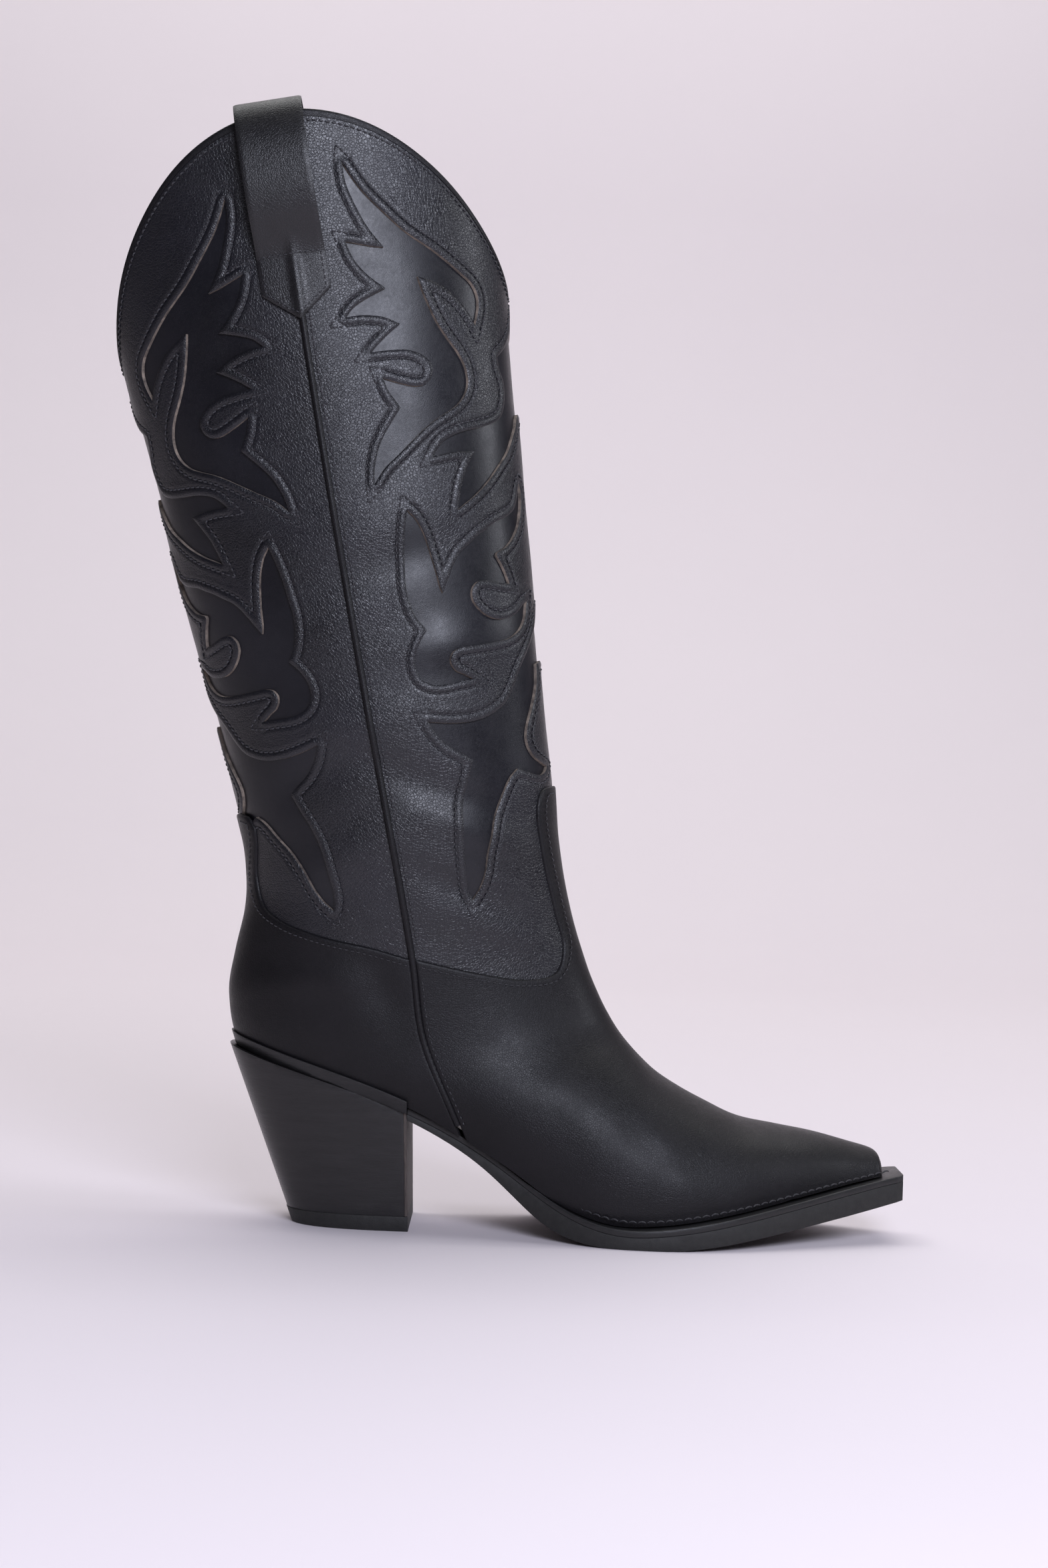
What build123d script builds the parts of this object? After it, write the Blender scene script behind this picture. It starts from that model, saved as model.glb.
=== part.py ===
from build123d import *
import os
from math import cos, sin, pi, copysign, hypot

# Right boot, women's size 38. Millimetres. +X to the toe, +Y to the inner side of the foot, +Z up.
# The model is drawn with the floor at Z = 0; SHIFT moves the origin to the middle of its footprint.

os.makedirs("parts", exist_ok=True)

# ---- driving dimensions -------------------------------------------------------------------------
OVERLAY = 1.3            # grained shaft overlay, vamp and counter leather
UNDERLAY = 1.1           # smooth shaft leather under the overlay
LINING = 1.0             # lining leather
BINDING = 0.8            # folded collar binding, each side of the edge
PIPING_PROUD = 1.2       # how far the side piping stands out of the overlay
PIPING_HALF = 1.15       # half the width of the side piping
STRAP = 2.0              # pull strap thickness
STRAP_WIDTH = 26.5
COLLAR_DIP = 195.0       # height up the shaft of the front and back dips, from the ankle section
COLLAR_RISE = 75.0       # how much higher the collar is at the sides
COLLAR_POWER = 1.38      # shape of the collar's curve between dip and side
SHAFT_STEP = 97.6        # shaft height between two sections of the straight cone
WELT = 2.8
MIDSOLE = 2.6
INSOLE_BOARD = 2.5
SOCK = 1.5
RAND = 5.2               # band round the heel seat
TOP_LIFT = 6.0
SECTION_POINTS = 32
FOOT_STEPS = 2           # sections made for each listed one, from the toe to the ankle
BIG = 400.0
TURNS = [2 * pi * (k + 0.5) / SECTION_POINTS for k in range(SECTION_POINTS)]
STACK = OVERLAY + UNDERLAY + LINING
BINDING_DEPTH = 4.5
SEAM_GAP = 0.05          # between the front and back panels of the inner shaft layers
PUFF_START = 112.0
STIFFENER_END = -55.0
STRAP_TIP = (-92.5, 355.0)
STRAP_LEAN = 0.188       # radians, the strap leans back with the shaft
STRAP_POINT = 10.6       # height of the pentagon's corners over its tip
PATCH_TOP = 25.0
INNER_END = 38.0
INNER_TOP = 54.0
# The middle line of the free strap, as (distance out from the middle plane, height over the tip).
STRAP_PATH = [(46.6, 22), (49.2, 31), (54.6, 42), (57.0, 55), (56.0, 69), (51.6, 80), (46.0, 85),
              (41.6, 82), (40.2, 72), (40.8, 60), (41.9, 51)]
WELT_INSET = 8.0         # how far the welt and the rand reach in under the upper
RAND_OUTSET = 2.6
BREAST_X = -41.5         # the plane where sole and heel meet
TOE_OUTER = -8.0
TOE_INNER = 16.0
HEEL_BACK = -87.2
HEEL_FRONT = -39.7
HEEL_RAKE = 0.388
BREAST_RAKE = 0.04
HEEL_TOP = 84.0
HEEL_HALF_LOW = 24.0
HEEL_HALF_OUTER = 32.5
HEEL_HALF_INNER = 30.5
HEEL_ROUND = 2.7
HEEL_POINTS = 24
FACING = 1.2
TOP_LIFT_GROW = 0.3
SHANK = 1.6
SHANK_START = -92.0
SHANK_END = 12.0
SHANK_WIDTH = 13.0
SCREW_LOW = 34.0
SCREW_HIGH = 120.0
SCREW_PLACES = [(-58, 12), (-58, -12), (-80, 12), (-80, -12)]
RIVET_PLACES = [-68, -10]
NAIL_LENGTH = 15.0
NAIL_PLACES = [(-48, 17), (-48, -17), (-66, 16), (-66, -16), (-81, 0)]

# Each section of the upper is a closed curve in a plane that holds the Y direction:
# ridge x, ridge z, base x, base z, half width, centre y, place of the widest point from the base,
# roundness exponent on the ridge side, roundness exponent on the base side.
SECTIONS = [
    (147.9, 30.5, 147.9, 16.0, 10.5, 4.0, 0.40, 2.6, 3.0),
    (147.0, 33.0, 147.0, 12.0, 12.0, 4.0, 0.40, 2.6, 3.0),
    (144.0, 34.9, 144.0, 9.0, 13.6, 4.0, 0.40, 2.4, 3.0),
    (136.0, 37.0, 136.0, 6.0, 17.0, 3.8, 0.42, 2.3, 3.0),
    (122.0, 40.3, 122.0, 2.0, 23.0, 3.0, 0.44, 2.2, 3.0),
    (106.0, 43.3, 104.0, -2.0, 30.0, 2.0, 0.44, 2.1, 2.8),
    (90.0, 46.6, 84.0, -6.0, 36.0, 0.0, 0.42, 2.0, 2.8),
    (76.0, 52.9, 62.0, -9.0, 39.5, -1.5, 0.40, 1.95, 2.8),
    (64.5, 58.7, 42.0, -9.0, 40.0, -2.2, 0.40, 1.95, 2.6),
    (56.1, 63.8, 20.0, -4.0, 38.5, -2.8, 0.42, 1.95, 2.3),
    (50.0, 69.2, -8.0, 13.0, 35.5, -3.2, 0.44, 1.95, 2.05),
    (45.0, 74.6, -38.0, 32.0, 33.5, -2.8, 0.45, 1.95, 1.95),
    (40.5, 80.2, -68.0, 44.0, 32.0, -2.0, 0.45, 1.95, 2.0),
    (36.3, 86.5, -95.0, 55.0, 31.5, -1.2, 0.45, 1.95, 2.1),
    (32.0, 94.0, -110.0, 71.0, 31.5, -0.6, 0.46, 1.95, 2.2),
    (26.8, 105.0, -114.3, 90.0, 32.0, 0.0, 0.47, 1.95, 2.2),
    (21.4, 120.6, -112.6, 108.0, 33.0, 0.0, 0.48, 1.95, 2.1),
    (16.8, 139.0, -109.8, 124.5, 34.8, 0.0, 0.49, 2.0, 2.0),
    (13.4, 158.0, -109.6, 138.0, 36.4, 0.0, 0.50, 2.0, 2.0),
    (10.8, 181.0, -112.0, 154.0, 37.5, 0.0, 0.50, 2.0, 2.0),
    (-1.6, 278.5, -140.0, 247.5, 41.0, 0.0, 0.50, 2.0, 2.0),
    (-14.0, 376.0, -168.0, 341.0, 44.5, 0.0, 0.50, 2.0, 2.0),
    (-26.7, 476.0, -196.7, 437.0, 48.0, 0.0, 0.50, 2.0, 2.0),
]
ANKLE = 19               # the section where the straight cone of the shaft begins
TOE_CAP = 3              # the sections before this one also move back as the upper gets thinner

# Curves of the side view, as (x, z).
FEATHER = [(-125, 79.5), (-97, 70.3), (-70, 62.3), (-35, 49.5), (-5, 33), (20, 17.2),
           (40, 10.8), (60, 11), (90, 15.8), (125, 23.2), (168, 31.5)]
UNDERSIDE = [(-60, 53), (-41.5, 44.6), (-25, 36.2), (-10, 26.2), (4, 14.2), (15, 6.0),
             (28, 1.3), (45, 0.0), (62, 0.0), (85, 2.4), (110, 6.9), (140, 12.9), (168, 19.2)]
SIDE_SEAM = [(-113, 480), (-92, 356), (-65.5, 223), (-46.5, 134), (-41, 106), (-36, 77),
             (-21, 44), (-8, 15)]
VAMP_EDGE = [(12, 178), (7, 176.2), (5.4, 170), (7.5, 153.5), (14, 127.5), (17.5, 113),
             (15, 103.5), (4, 101), (-14, 103), (-41, 108.3), (-60, 112)]
COUNTER_EDGE = [(-30, 105.5), (-41, 107.8), (-56.5, 111.7), (-77.6, 115.7), (-93.5, 120.7),
                (-101, 126), (-104.6, 136), (-104.8, 152), (-106.5, 160), (-111, 162.3)]
SHAFT_FOOT = [(-150, 113), (-100, 112), (-60, 103), (-40, 99), (0, 92), (30, 96), (60, 100)]

# Plan of the sole from the heel breast along the outer side to the toe, and back along the inner side.
SOLE_OUTER = [(-45, -28.5), (-20, -28.5), (5, -33), (30, -44), (55, -49), (82, -45.5), (110, -33.5),
              (140, -18), (155, -10)]
SOLE_INNER = [(155, 18), (140, 26), (110, 38.5), (82, 44.5), (55, 44.5), (30, 37.5), (5, 27.5),
              (-20, 24), (-45, 25)]
TOE_END = 157.5


# ---- the surface of the upper -------------------------------------------------------------------
def signed_power(value, power):
    return copysign(abs(value) ** power, value)


def smooth_step(before, start, end, after, part):
    """A cubic from start to end whose slopes follow the neighbours."""
    slope_in = (end - before) / 2
    slope_out = (after - start) / 2
    rise = end - start
    return (start + slope_in * part + (3 * rise - 2 * slope_in - slope_out) * part ** 2
            + (slope_in + slope_out - 2 * rise) * part ** 3)


def blend_sections(place):
    """The section at any place between the listed ones, straight along the shaft's cone."""
    last = len(SECTIONS) - 1
    low = min(int(place), last - 1)
    part = place - low
    if low >= ANKLE:
        return [a + (b - a) * part for a, b in zip(SECTIONS[low], SECTIONS[low + 1])]
    rows = [SECTIONS[max(0, low + k)] for k in (-1, 0, 1, 2)]
    return [smooth_step(*values, part) for values in zip(*rows)]


def section_point(section, angle, inset, cap):
    """A point of a section: angle 0 is the ridge, half a turn is the base."""
    ridge_x, ridge_z, base_x, base_z, half_width, centre, widest, ridge_n, base_n = section
    length = hypot(ridge_x - base_x, ridge_z - base_z)
    along_x = (ridge_x - base_x) / length
    along_z = (ridge_z - base_z) / length
    on_ridge = cos(angle) >= 0
    power = 2 / (ridge_n if on_ridge else base_n)
    reach = (1 - widest if on_ridge else widest) * length - inset
    along = widest * length + signed_power(cos(angle), power) * reach
    across = centre + signed_power(sin(angle), power) * (half_width - inset)
    return Vector(base_x + along_x * along - inset * cap, across, base_z + along_z * along)


def closed_spline(points):
    return Edge.make_spline(points, periodic=True)


def section_edge(place, inset):
    cap = max(0.0, 1 - place / TOE_CAP)
    section = blend_sections(place)
    return closed_spline([section_point(section, turn, inset, cap) for turn in TURNS])


def collar_edge(rise, inset):
    """The collar's curve on the shaft's cone, moved up by rise and in by inset."""
    points = []
    for turn in TURNS:
        height = COLLAR_DIP + COLLAR_RISE * abs(sin(turn)) ** COLLAR_POWER + rise
        points.append(section_point(blend_sections(ANKLE + height / SHAFT_STEP), turn, inset, 0))
    return closed_spline(points)


def walls(edges):
    """Ruled faces from each closed curve to the next."""
    return [Face.make_surface_from_curves(a, b) for a, b in zip(edges, edges[1:])]


def cap_face(edge):
    return Face(Wire([edge]))


def foot_edges(inset):
    steps = range(ANKLE * FOOT_STEPS)
    return [section_edge(k / FOOT_STEPS, inset) for k in steps] + [section_edge(ANKLE, inset)]


def filled(inset):
    """The foot and the lower shaft as a filled form, its surface moved in by inset."""
    edges = foot_edges(inset) + [section_edge(ANKLE + 1, inset)]
    return Solid(Shell(walls(edges) + [cap_face(edges[0]), cap_face(edges[-1])]))


def leather(outer_inset, inner_inset):
    """One layer of the whole upper, from the toe to the collar's edge."""
    outer = foot_edges(outer_inset) + [collar_edge(0, outer_inset)]
    inner = foot_edges(inner_inset) + [collar_edge(0, inner_inset)]
    faces = walls(outer) + walls(inner) + walls([outer[-1], inner[-1]])
    return Solid(Shell(faces + [cap_face(outer[0]), cap_face(inner[0])]))


# ---- cutting forms ------------------------------------------------------------------------------
def line_edges(points):
    return [Edge.make_line(a, b) for a, b in zip(points, points[1:])]


def side_prism(curve, corners):
    """Everything inside a side-view outline: a smooth curve closed by straight corners."""
    smooth = [Vector(x, -BIG / 2, z) for x, z in curve]
    straight = [smooth[-1]] + [Vector(x, -BIG / 2, z) for x, z in corners] + [smooth[0]]
    outline = Wire([Edge.make_spline(smooth)] + line_edges(straight))
    return Solid.extrude(Face(outline), Vector(0, BIG, 0))


def moved_curve(curve, dx, dz):
    return [(x + dx, z + dz) for x, z in curve]


def below(curve, drop=0.0):
    line = moved_curve(curve, 0, -drop)
    return side_prism(line, [(BIG, line[-1][1]), (BIG, -BIG), (-BIG, -BIG), (-BIG, line[0][1])])


def between(curve, top_drop, bottom_drop):
    """The space under a side-view curve, between two depths."""
    return below(curve, top_drop) - below(curve, bottom_drop)


def slab(x0, x1, y0=-BIG, y1=BIG, z0=-BIG, z1=2 * BIG):
    box = Solid.make_box(x1 - x0, y1 - y0, z1 - z0)
    return box.moved(Location((x0, y0, z0)))


def front_of_seam(gap):
    return side_prism(moved_curve(SIDE_SEAM, gap, 0), [(BIG, 0), (BIG, 480)])


def back_of_seam(gap):
    return side_prism(moved_curve(SIDE_SEAM, -gap, 0), [(-BIG, 0), (-BIG, 480)])


def piece(shape):
    """The largest solid of a cut, without slivers."""
    return max(shape.solids(), key=lambda solid: solid.volume)


def peg(x, y, z_low, z_high, radius):
    return Solid.make_cylinder(radius, z_high - z_low).moved(Location((x, y, z_low)))


# ---- upper --------------------------------------------------------------------------------------
def make_piping(side):
    """The raised strip in the side seam; side is -1 for the outer side and 1 for the inner one."""
    band = front_of_seam(-PIPING_HALF) & back_of_seam(-PIPING_HALF)
    half = slab(-BIG, BIG, min(0, side * BIG), max(0, side * BIG))
    strip = leather(-PIPING_PROUD, OVERLAY) & band & half
    return piece(strip - below(FEATHER) - binding_space())


def binding_space():
    """A collar of space that holds the binding and the leather inside it."""
    curves = [collar_edge(-BINDING_DEPTH, -BINDING), collar_edge(BINDING, -BINDING),
              collar_edge(BINDING, STACK + BINDING), collar_edge(-BINDING_DEPTH, STACK + BINDING)]
    return Solid(Shell(walls(curves + curves[:1])))


def make_binding():
    """A folded strip round the whole collar, over the overlay outside and the lining inside."""
    curves = [collar_edge(-BINDING_DEPTH, -BINDING), collar_edge(BINDING, -BINDING),
              collar_edge(BINDING, STACK + BINDING), collar_edge(-BINDING_DEPTH, STACK + BINDING),
              collar_edge(-BINDING_DEPTH, STACK), collar_edge(0, STACK),
              collar_edge(0, 0), collar_edge(-BINDING_DEPTH, 0)]
    return Solid(Shell(walls(curves + curves[:1])))


def make_shaft_layers(parts):
    """Overlay, underlay and lining of the shaft, each as a front and a back panel."""
    foot = below(SHAFT_FOOT)
    top = 0.0
    for name, thickness in (("overlay", OVERLAY), ("underlay", UNDERLAY), ("lining", LINING)):
        sheet = leather(top, top + thickness) - foot
        gap = PIPING_HALF if name == "overlay" else SEAM_GAP
        parts["shaft_front_" + name] = piece(sheet & front_of_seam(gap))
        parts["shaft_back_" + name] = piece(sheet & back_of_seam(gap))
        top += thickness


def make_foot_layers(parts):
    """Vamp and counter outside; puff, backing and stiffener under them; lining inside."""
    shell = leather(-OVERLAY, 0) - below(FEATHER)
    vamp_zone = side_prism(VAMP_EDGE, [(-60, -BIG), (BIG, -BIG), (BIG, 178)])
    counter_zone = side_prism(COUNTER_EDGE, [(-BIG, 162.3), (-BIG, -BIG), (60, -BIG), (60, 60)])
    parts["vamp"] = piece(shell & vamp_zone & front_of_seam(PIPING_HALF))
    parts["counter"] = piece(shell & counter_zone & back_of_seam(PIPING_HALF))
    core = (leather(0, OVERLAY + UNDERLAY) & below(SHAFT_FOOT)) - below(FEATHER)
    parts["toe_puff"] = piece(core & slab(PUFF_START, BIG))
    parts["heel_stiffener"] = piece(core & slab(-BIG, STIFFENER_END))
    parts["vamp_backing"] = piece(core & slab(STIFFENER_END, PUFF_START))
    lining = leather(OVERLAY + UNDERLAY, STACK) & below(SHAFT_FOOT)
    parts["foot_lining"] = piece(lining - below(FEATHER))


def strap_frame(side):
    """The plane of the strap's own profile: its Z runs along the strap, its Y out of the shaft."""
    lean = STRAP_LEAN
    up = Vector(-sin(lean), 0, cos(lean))
    across = Vector(cos(lean), 0, sin(lean))
    start = Vector(STRAP_TIP[0], 0, STRAP_TIP[1])
    return start, up, across, Vector(0, side, 0)


def make_strap_bow(side):
    """The free stretch of a pull strap: up the outside, over the collar and down the inside."""
    start, up, across, out = strap_frame(side)
    middle = [Vector(reach, height) for reach, height in STRAP_PATH]
    outer = []
    inner = []
    for k, point in enumerate(middle):
        run = middle[min(k + 1, len(middle) - 1)] - middle[max(k - 1, 0)]
        normal = Vector(run.Y, -run.X).normalized() * (STRAP / 2)
        outer.append(point + normal)
        inner.append(point - normal)
    start -= across * (STRAP_WIDTH / 2)
    outer = [start + out * p.X + up * p.Y for p in outer]
    inner = [start + out * p.X + up * p.Y for p in inner]
    ends = [Edge.make_line(outer[-1], inner[-1]), Edge.make_line(inner[0], outer[0])]
    outline = Wire([Edge.make_spline(outer), Edge.make_spline(inner)] + ends)
    return Solid.extrude(Face(outline), across * STRAP_WIDTH)


def strap_patch(side, outline, outer_inset, inner_inset):
    """A stitched-down end of the strap, lying on the shaft; the outline is (across, height)."""
    start, up, across, out = strap_frame(side)
    corners = [start + across * a + up * h for a, h in outline]
    prism = Solid.extrude(Face(Wire(line_edges(corners + corners[:1]))), out * BIG)
    return piece(leather(outer_inset, inner_inset) & prism)


def make_strap(side, piping):
    half = STRAP_WIDTH / 2
    pentagon = [(0, 0), (half, STRAP_POINT), (half, PATCH_TOP), (-half, PATCH_TOP),
                (-half, STRAP_POINT)]
    tab = [(-half, INNER_END), (half, INNER_END), (half, INNER_TOP), (-half, INNER_TOP)]
    outside = strap_patch(side, pentagon, -STRAP, 0)
    inside = strap_patch(side, tab, STACK, STACK + STRAP)
    return piece(make_strap_bow(side).fuse(outside, inside) - piping)


# ---- bottom -------------------------------------------------------------------------------------
def sole_plan():
    outer = [Vector(x, y, -BIG) for x, y in SOLE_OUTER]
    inner = [Vector(x, y, -BIG) for x, y in SOLE_INNER]
    toe = [outer[-1], Vector(TOE_END, TOE_OUTER, -BIG), Vector(TOE_END, TOE_INNER, -BIG), inner[0]]
    heel = [inner[-1], outer[0]]
    outline = Wire([Edge.make_spline(outer), Edge.make_spline(inner)]
                   + line_edges(toe) + line_edges(heel))
    whole = Solid.extrude(Face(outline), Vector(0, 0, 2 * BIG))
    return whole & slab(BREAST_X, BIG)


def make_bottom(parts):
    """Welt, filler, midsole and outsole forward of the heel; insole board and sock full length."""
    plan = sole_plan()
    inside = filled(WELT_INSET)
    welt_level = between(FEATHER, 0, WELT)
    parts["welt"] = piece((plan & welt_level) - inside)
    parts["forefoot_filler"] = piece(inside & welt_level & slab(BREAST_X, BIG))
    parts["midsole"] = piece(plan & between(FEATHER, WELT, WELT + MIDSOLE))
    sole = (plan & below(FEATHER, WELT + MIDSOLE)) - below(UNDERSIDE)
    parts["outsole"] = piece(sole & slab(-BIG, BIG, z0=0))
    cavity = filled(STACK)
    parts["insole_board"] = piece(cavity & between(FEATHER, -INSOLE_BOARD, 0))
    parts["sock_liner"] = piece(cavity & between(FEATHER, -INSOLE_BOARD - SOCK, -INSOLE_BOARD))


def heel_outline(z, grow=0.0):
    """The heel's D-shaped outline at a height: straight at the breast, round at the back."""
    back = HEEL_BACK - HEEL_RAKE * z - grow
    front = HEEL_FRONT - BREAST_RAKE * z
    share = z / HEEL_TOP
    outer = HEEL_HALF_LOW + (HEEL_HALF_OUTER - HEEL_HALF_LOW) * share + grow
    inner = HEEL_HALF_LOW + (HEEL_HALF_INNER - HEEL_HALF_LOW) * share + grow
    points = []
    for k in range(HEEL_POINTS + 1):
        turn = pi * k / HEEL_POINTS
        half = outer if turn < pi / 2 else inner
        x = front + (back - front) * signed_power(sin(turn), 2 / HEEL_ROUND)
        points.append(Vector(x, -half * signed_power(cos(turn), 2 / HEEL_ROUND), z))
    return [Edge.make_spline(points), Edge.make_line(points[-1], points[0])]


def heel_form(low, high, grow=0.0):
    """The heel between two heights, with straight sides."""
    bottom = heel_outline(low, grow)
    top = heel_outline(high, grow)
    sides = [Face.make_surface_from_curves(a, b) for a, b in zip(bottom, top)]
    return Solid(Shell(sides + [Face(Wire(bottom)), Face(Wire(top))]))


def make_heel(parts):
    under_seat = below(FEATHER, RAND)
    seat_level = between(FEATHER, 0, RAND) & slab(-BIG, BREAST_X)
    heart = filled(WELT_INSET)
    parts["heel_rand"] = piece((filled(-RAND_OUTSET) & seat_level) - heart)
    parts["heel_seat_lift"] = piece(heart & seat_level)
    block = heel_form(TOP_LIFT, HEEL_TOP) & under_seat
    front = side_prism([(HEEL_FRONT - FACING, -1), (HEEL_FRONT - FACING - BREAST_RAKE * 101, 100)],
                       [(BIG, 100), (BIG, -1)])
    parts["heel_block"] = piece(block - front)
    parts["heel_breast_facing"] = piece(block & front)
    parts["top_lift"] = piece(heel_form(0, TOP_LIFT, TOP_LIFT_GROW))


def make_shank(parts):
    strip = slab(SHANK_START, SHANK_END, -SHANK_WIDTH / 2, SHANK_WIDTH / 2)
    parts["steel_shank"] = piece(between(FEATHER, 0, SHANK) & strip)


# ---- fasteners ----------------------------------------------------------------------------------
def make_fasteners():
    """Screws hold the heel, rivets hold the shank to the insole board, nails hold the top lift."""
    screws = [peg(x, y, SCREW_LOW, SCREW_HIGH, 2.0) & below(FEATHER, -INSOLE_BOARD)
              for x, y in SCREW_PLACES]
    rivets = [peg(x, 0, 0, 120, 2.0) & between(FEATHER, -INSOLE_BOARD, SHANK)
              for x in RIVET_PLACES]
    nails = [peg(x, y, 0, NAIL_LENGTH, 0.9) for x, y in NAIL_PLACES]
    return {"heel_screws": [piece(s) for s in screws], "shank_rivets": [piece(r) for r in rivets],
            "top_lift_nails": nails}


def cut_holes(parts, fasteners):
    """Every piece that a fastener passes through gets a hole of its size."""
    holes = {"heel_screws": ("insole_board", "heel_seat_lift", "heel_block"),
             "shank_rivets": ("insole_board", "steel_shank"),
             "top_lift_nails": ("top_lift", "heel_block")}
    for name, crossed in holes.items():
        for target in crossed:
            for pin in fasteners[name]:
                parts[target] = piece(parts[target] - pin)


# ---- assembly -----------------------------------------------------------------------------------
def build():
    parts = {}
    pipings = {"outer": make_piping(-1), "inner": make_piping(1)}
    for name, piping in pipings.items():
        parts[name + "_side_seam_piping"] = piping
    parts["collar_binding"] = make_binding()
    make_shaft_layers(parts)
    make_foot_layers(parts)
    for name in ("toe_puff", "heel_stiffener", "vamp_backing"):
        for piping in pipings.values():
            parts[name] = piece(parts[name] - piping)
    parts["outer_pull_strap"] = make_strap(-1, pipings["outer"])
    parts["inner_pull_strap"] = make_strap(1, pipings["inner"])
    make_bottom(parts)
    make_heel(parts)
    make_shank(parts)
    for name in ("forefoot_filler", "heel_seat_lift"):
        parts[name] = piece(parts[name] - parts["steel_shank"])
    fasteners = make_fasteners()
    cut_holes(parts, fasteners)
    groups = {name: [solid] for name, solid in parts.items()}
    groups.update(fasteners)
    return groups


def footprint_middle(groups):
    """The middle of the whole boot's box in X and Y, and its lowest Z."""
    boxes = [solid.bounding_box() for solids in groups.values() for solid in solids]
    middle_x = (min(b.min.X for b in boxes) + max(b.max.X for b in boxes)) / 2
    middle_y = (min(b.min.Y for b in boxes) + max(b.max.Y for b in boxes)) / 2
    return Vector(middle_x, middle_y, min(b.min.Z for b in boxes))


groups = build()
middle = footprint_middle(groups)
print("origin in drawing", middle)
for name, solids in groups.items():
    placed = [solid.moved(Location(-middle)) for solid in solids]
    export_step(Compound(children=placed), f"parts/{name}.step")
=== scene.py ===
import math

import bmesh
import bpy
import numpy as np
from mathutils import Matrix, Vector, noise
from mathutils.bvhtree import BVHTree
from mathutils.geometry import delaunay_2d_cdt


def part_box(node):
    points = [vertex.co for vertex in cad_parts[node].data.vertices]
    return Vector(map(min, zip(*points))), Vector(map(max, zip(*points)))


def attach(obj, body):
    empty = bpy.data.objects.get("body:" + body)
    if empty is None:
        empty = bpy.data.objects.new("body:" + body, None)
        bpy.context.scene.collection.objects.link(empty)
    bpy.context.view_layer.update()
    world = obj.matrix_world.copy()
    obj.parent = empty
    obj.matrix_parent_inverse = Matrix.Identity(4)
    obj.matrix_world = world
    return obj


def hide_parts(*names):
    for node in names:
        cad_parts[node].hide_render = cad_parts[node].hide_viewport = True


# A black Western boot. Shapes are worked out in millimetres in the drawing's frame, whose floor is
# Z = 0, and moved into the row's frame when a mesh is made.
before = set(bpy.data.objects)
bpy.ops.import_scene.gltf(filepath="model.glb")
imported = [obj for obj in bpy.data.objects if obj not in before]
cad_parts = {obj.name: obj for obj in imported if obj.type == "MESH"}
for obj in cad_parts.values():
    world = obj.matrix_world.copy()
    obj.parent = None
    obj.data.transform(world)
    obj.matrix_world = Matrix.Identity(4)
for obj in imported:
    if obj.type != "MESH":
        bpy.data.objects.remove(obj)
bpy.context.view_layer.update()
SHANK_START = -92.0
DRAWING_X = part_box("steel_shank")[0][0] * 1000 - SHANK_START

# ---- sizes, in millimetres ----------------------------------------------------------------------
OVERLAY = 1.3
UNDERLAY = 1.1
LINING = 1.0
COLLAR_DIP = 195.0
COLLAR_RISE = 75.0
COLLAR_POWER = 1.38
SHAFT_STEP = 97.6
PIPING_HALF = 1.15
STRAP_HALF = 13.25
STRAP_TIP = (-92.5, 355.0)
STRAP_LEAN = 0.188
STITCH_INSET = 3.3
STITCH_PITCH = 2.5
FINE_STITCH = {"length": 1.6, "width": 0.5}
EDGE_STITCH_INSET = 2.6
SEAM_STITCH_PITCH = 2.6
SHELL_LIFT = 1.3  # how far the vamp and the counter stand on the shaft
ANKLE = 19  # the section where the straight shaft starts

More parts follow.
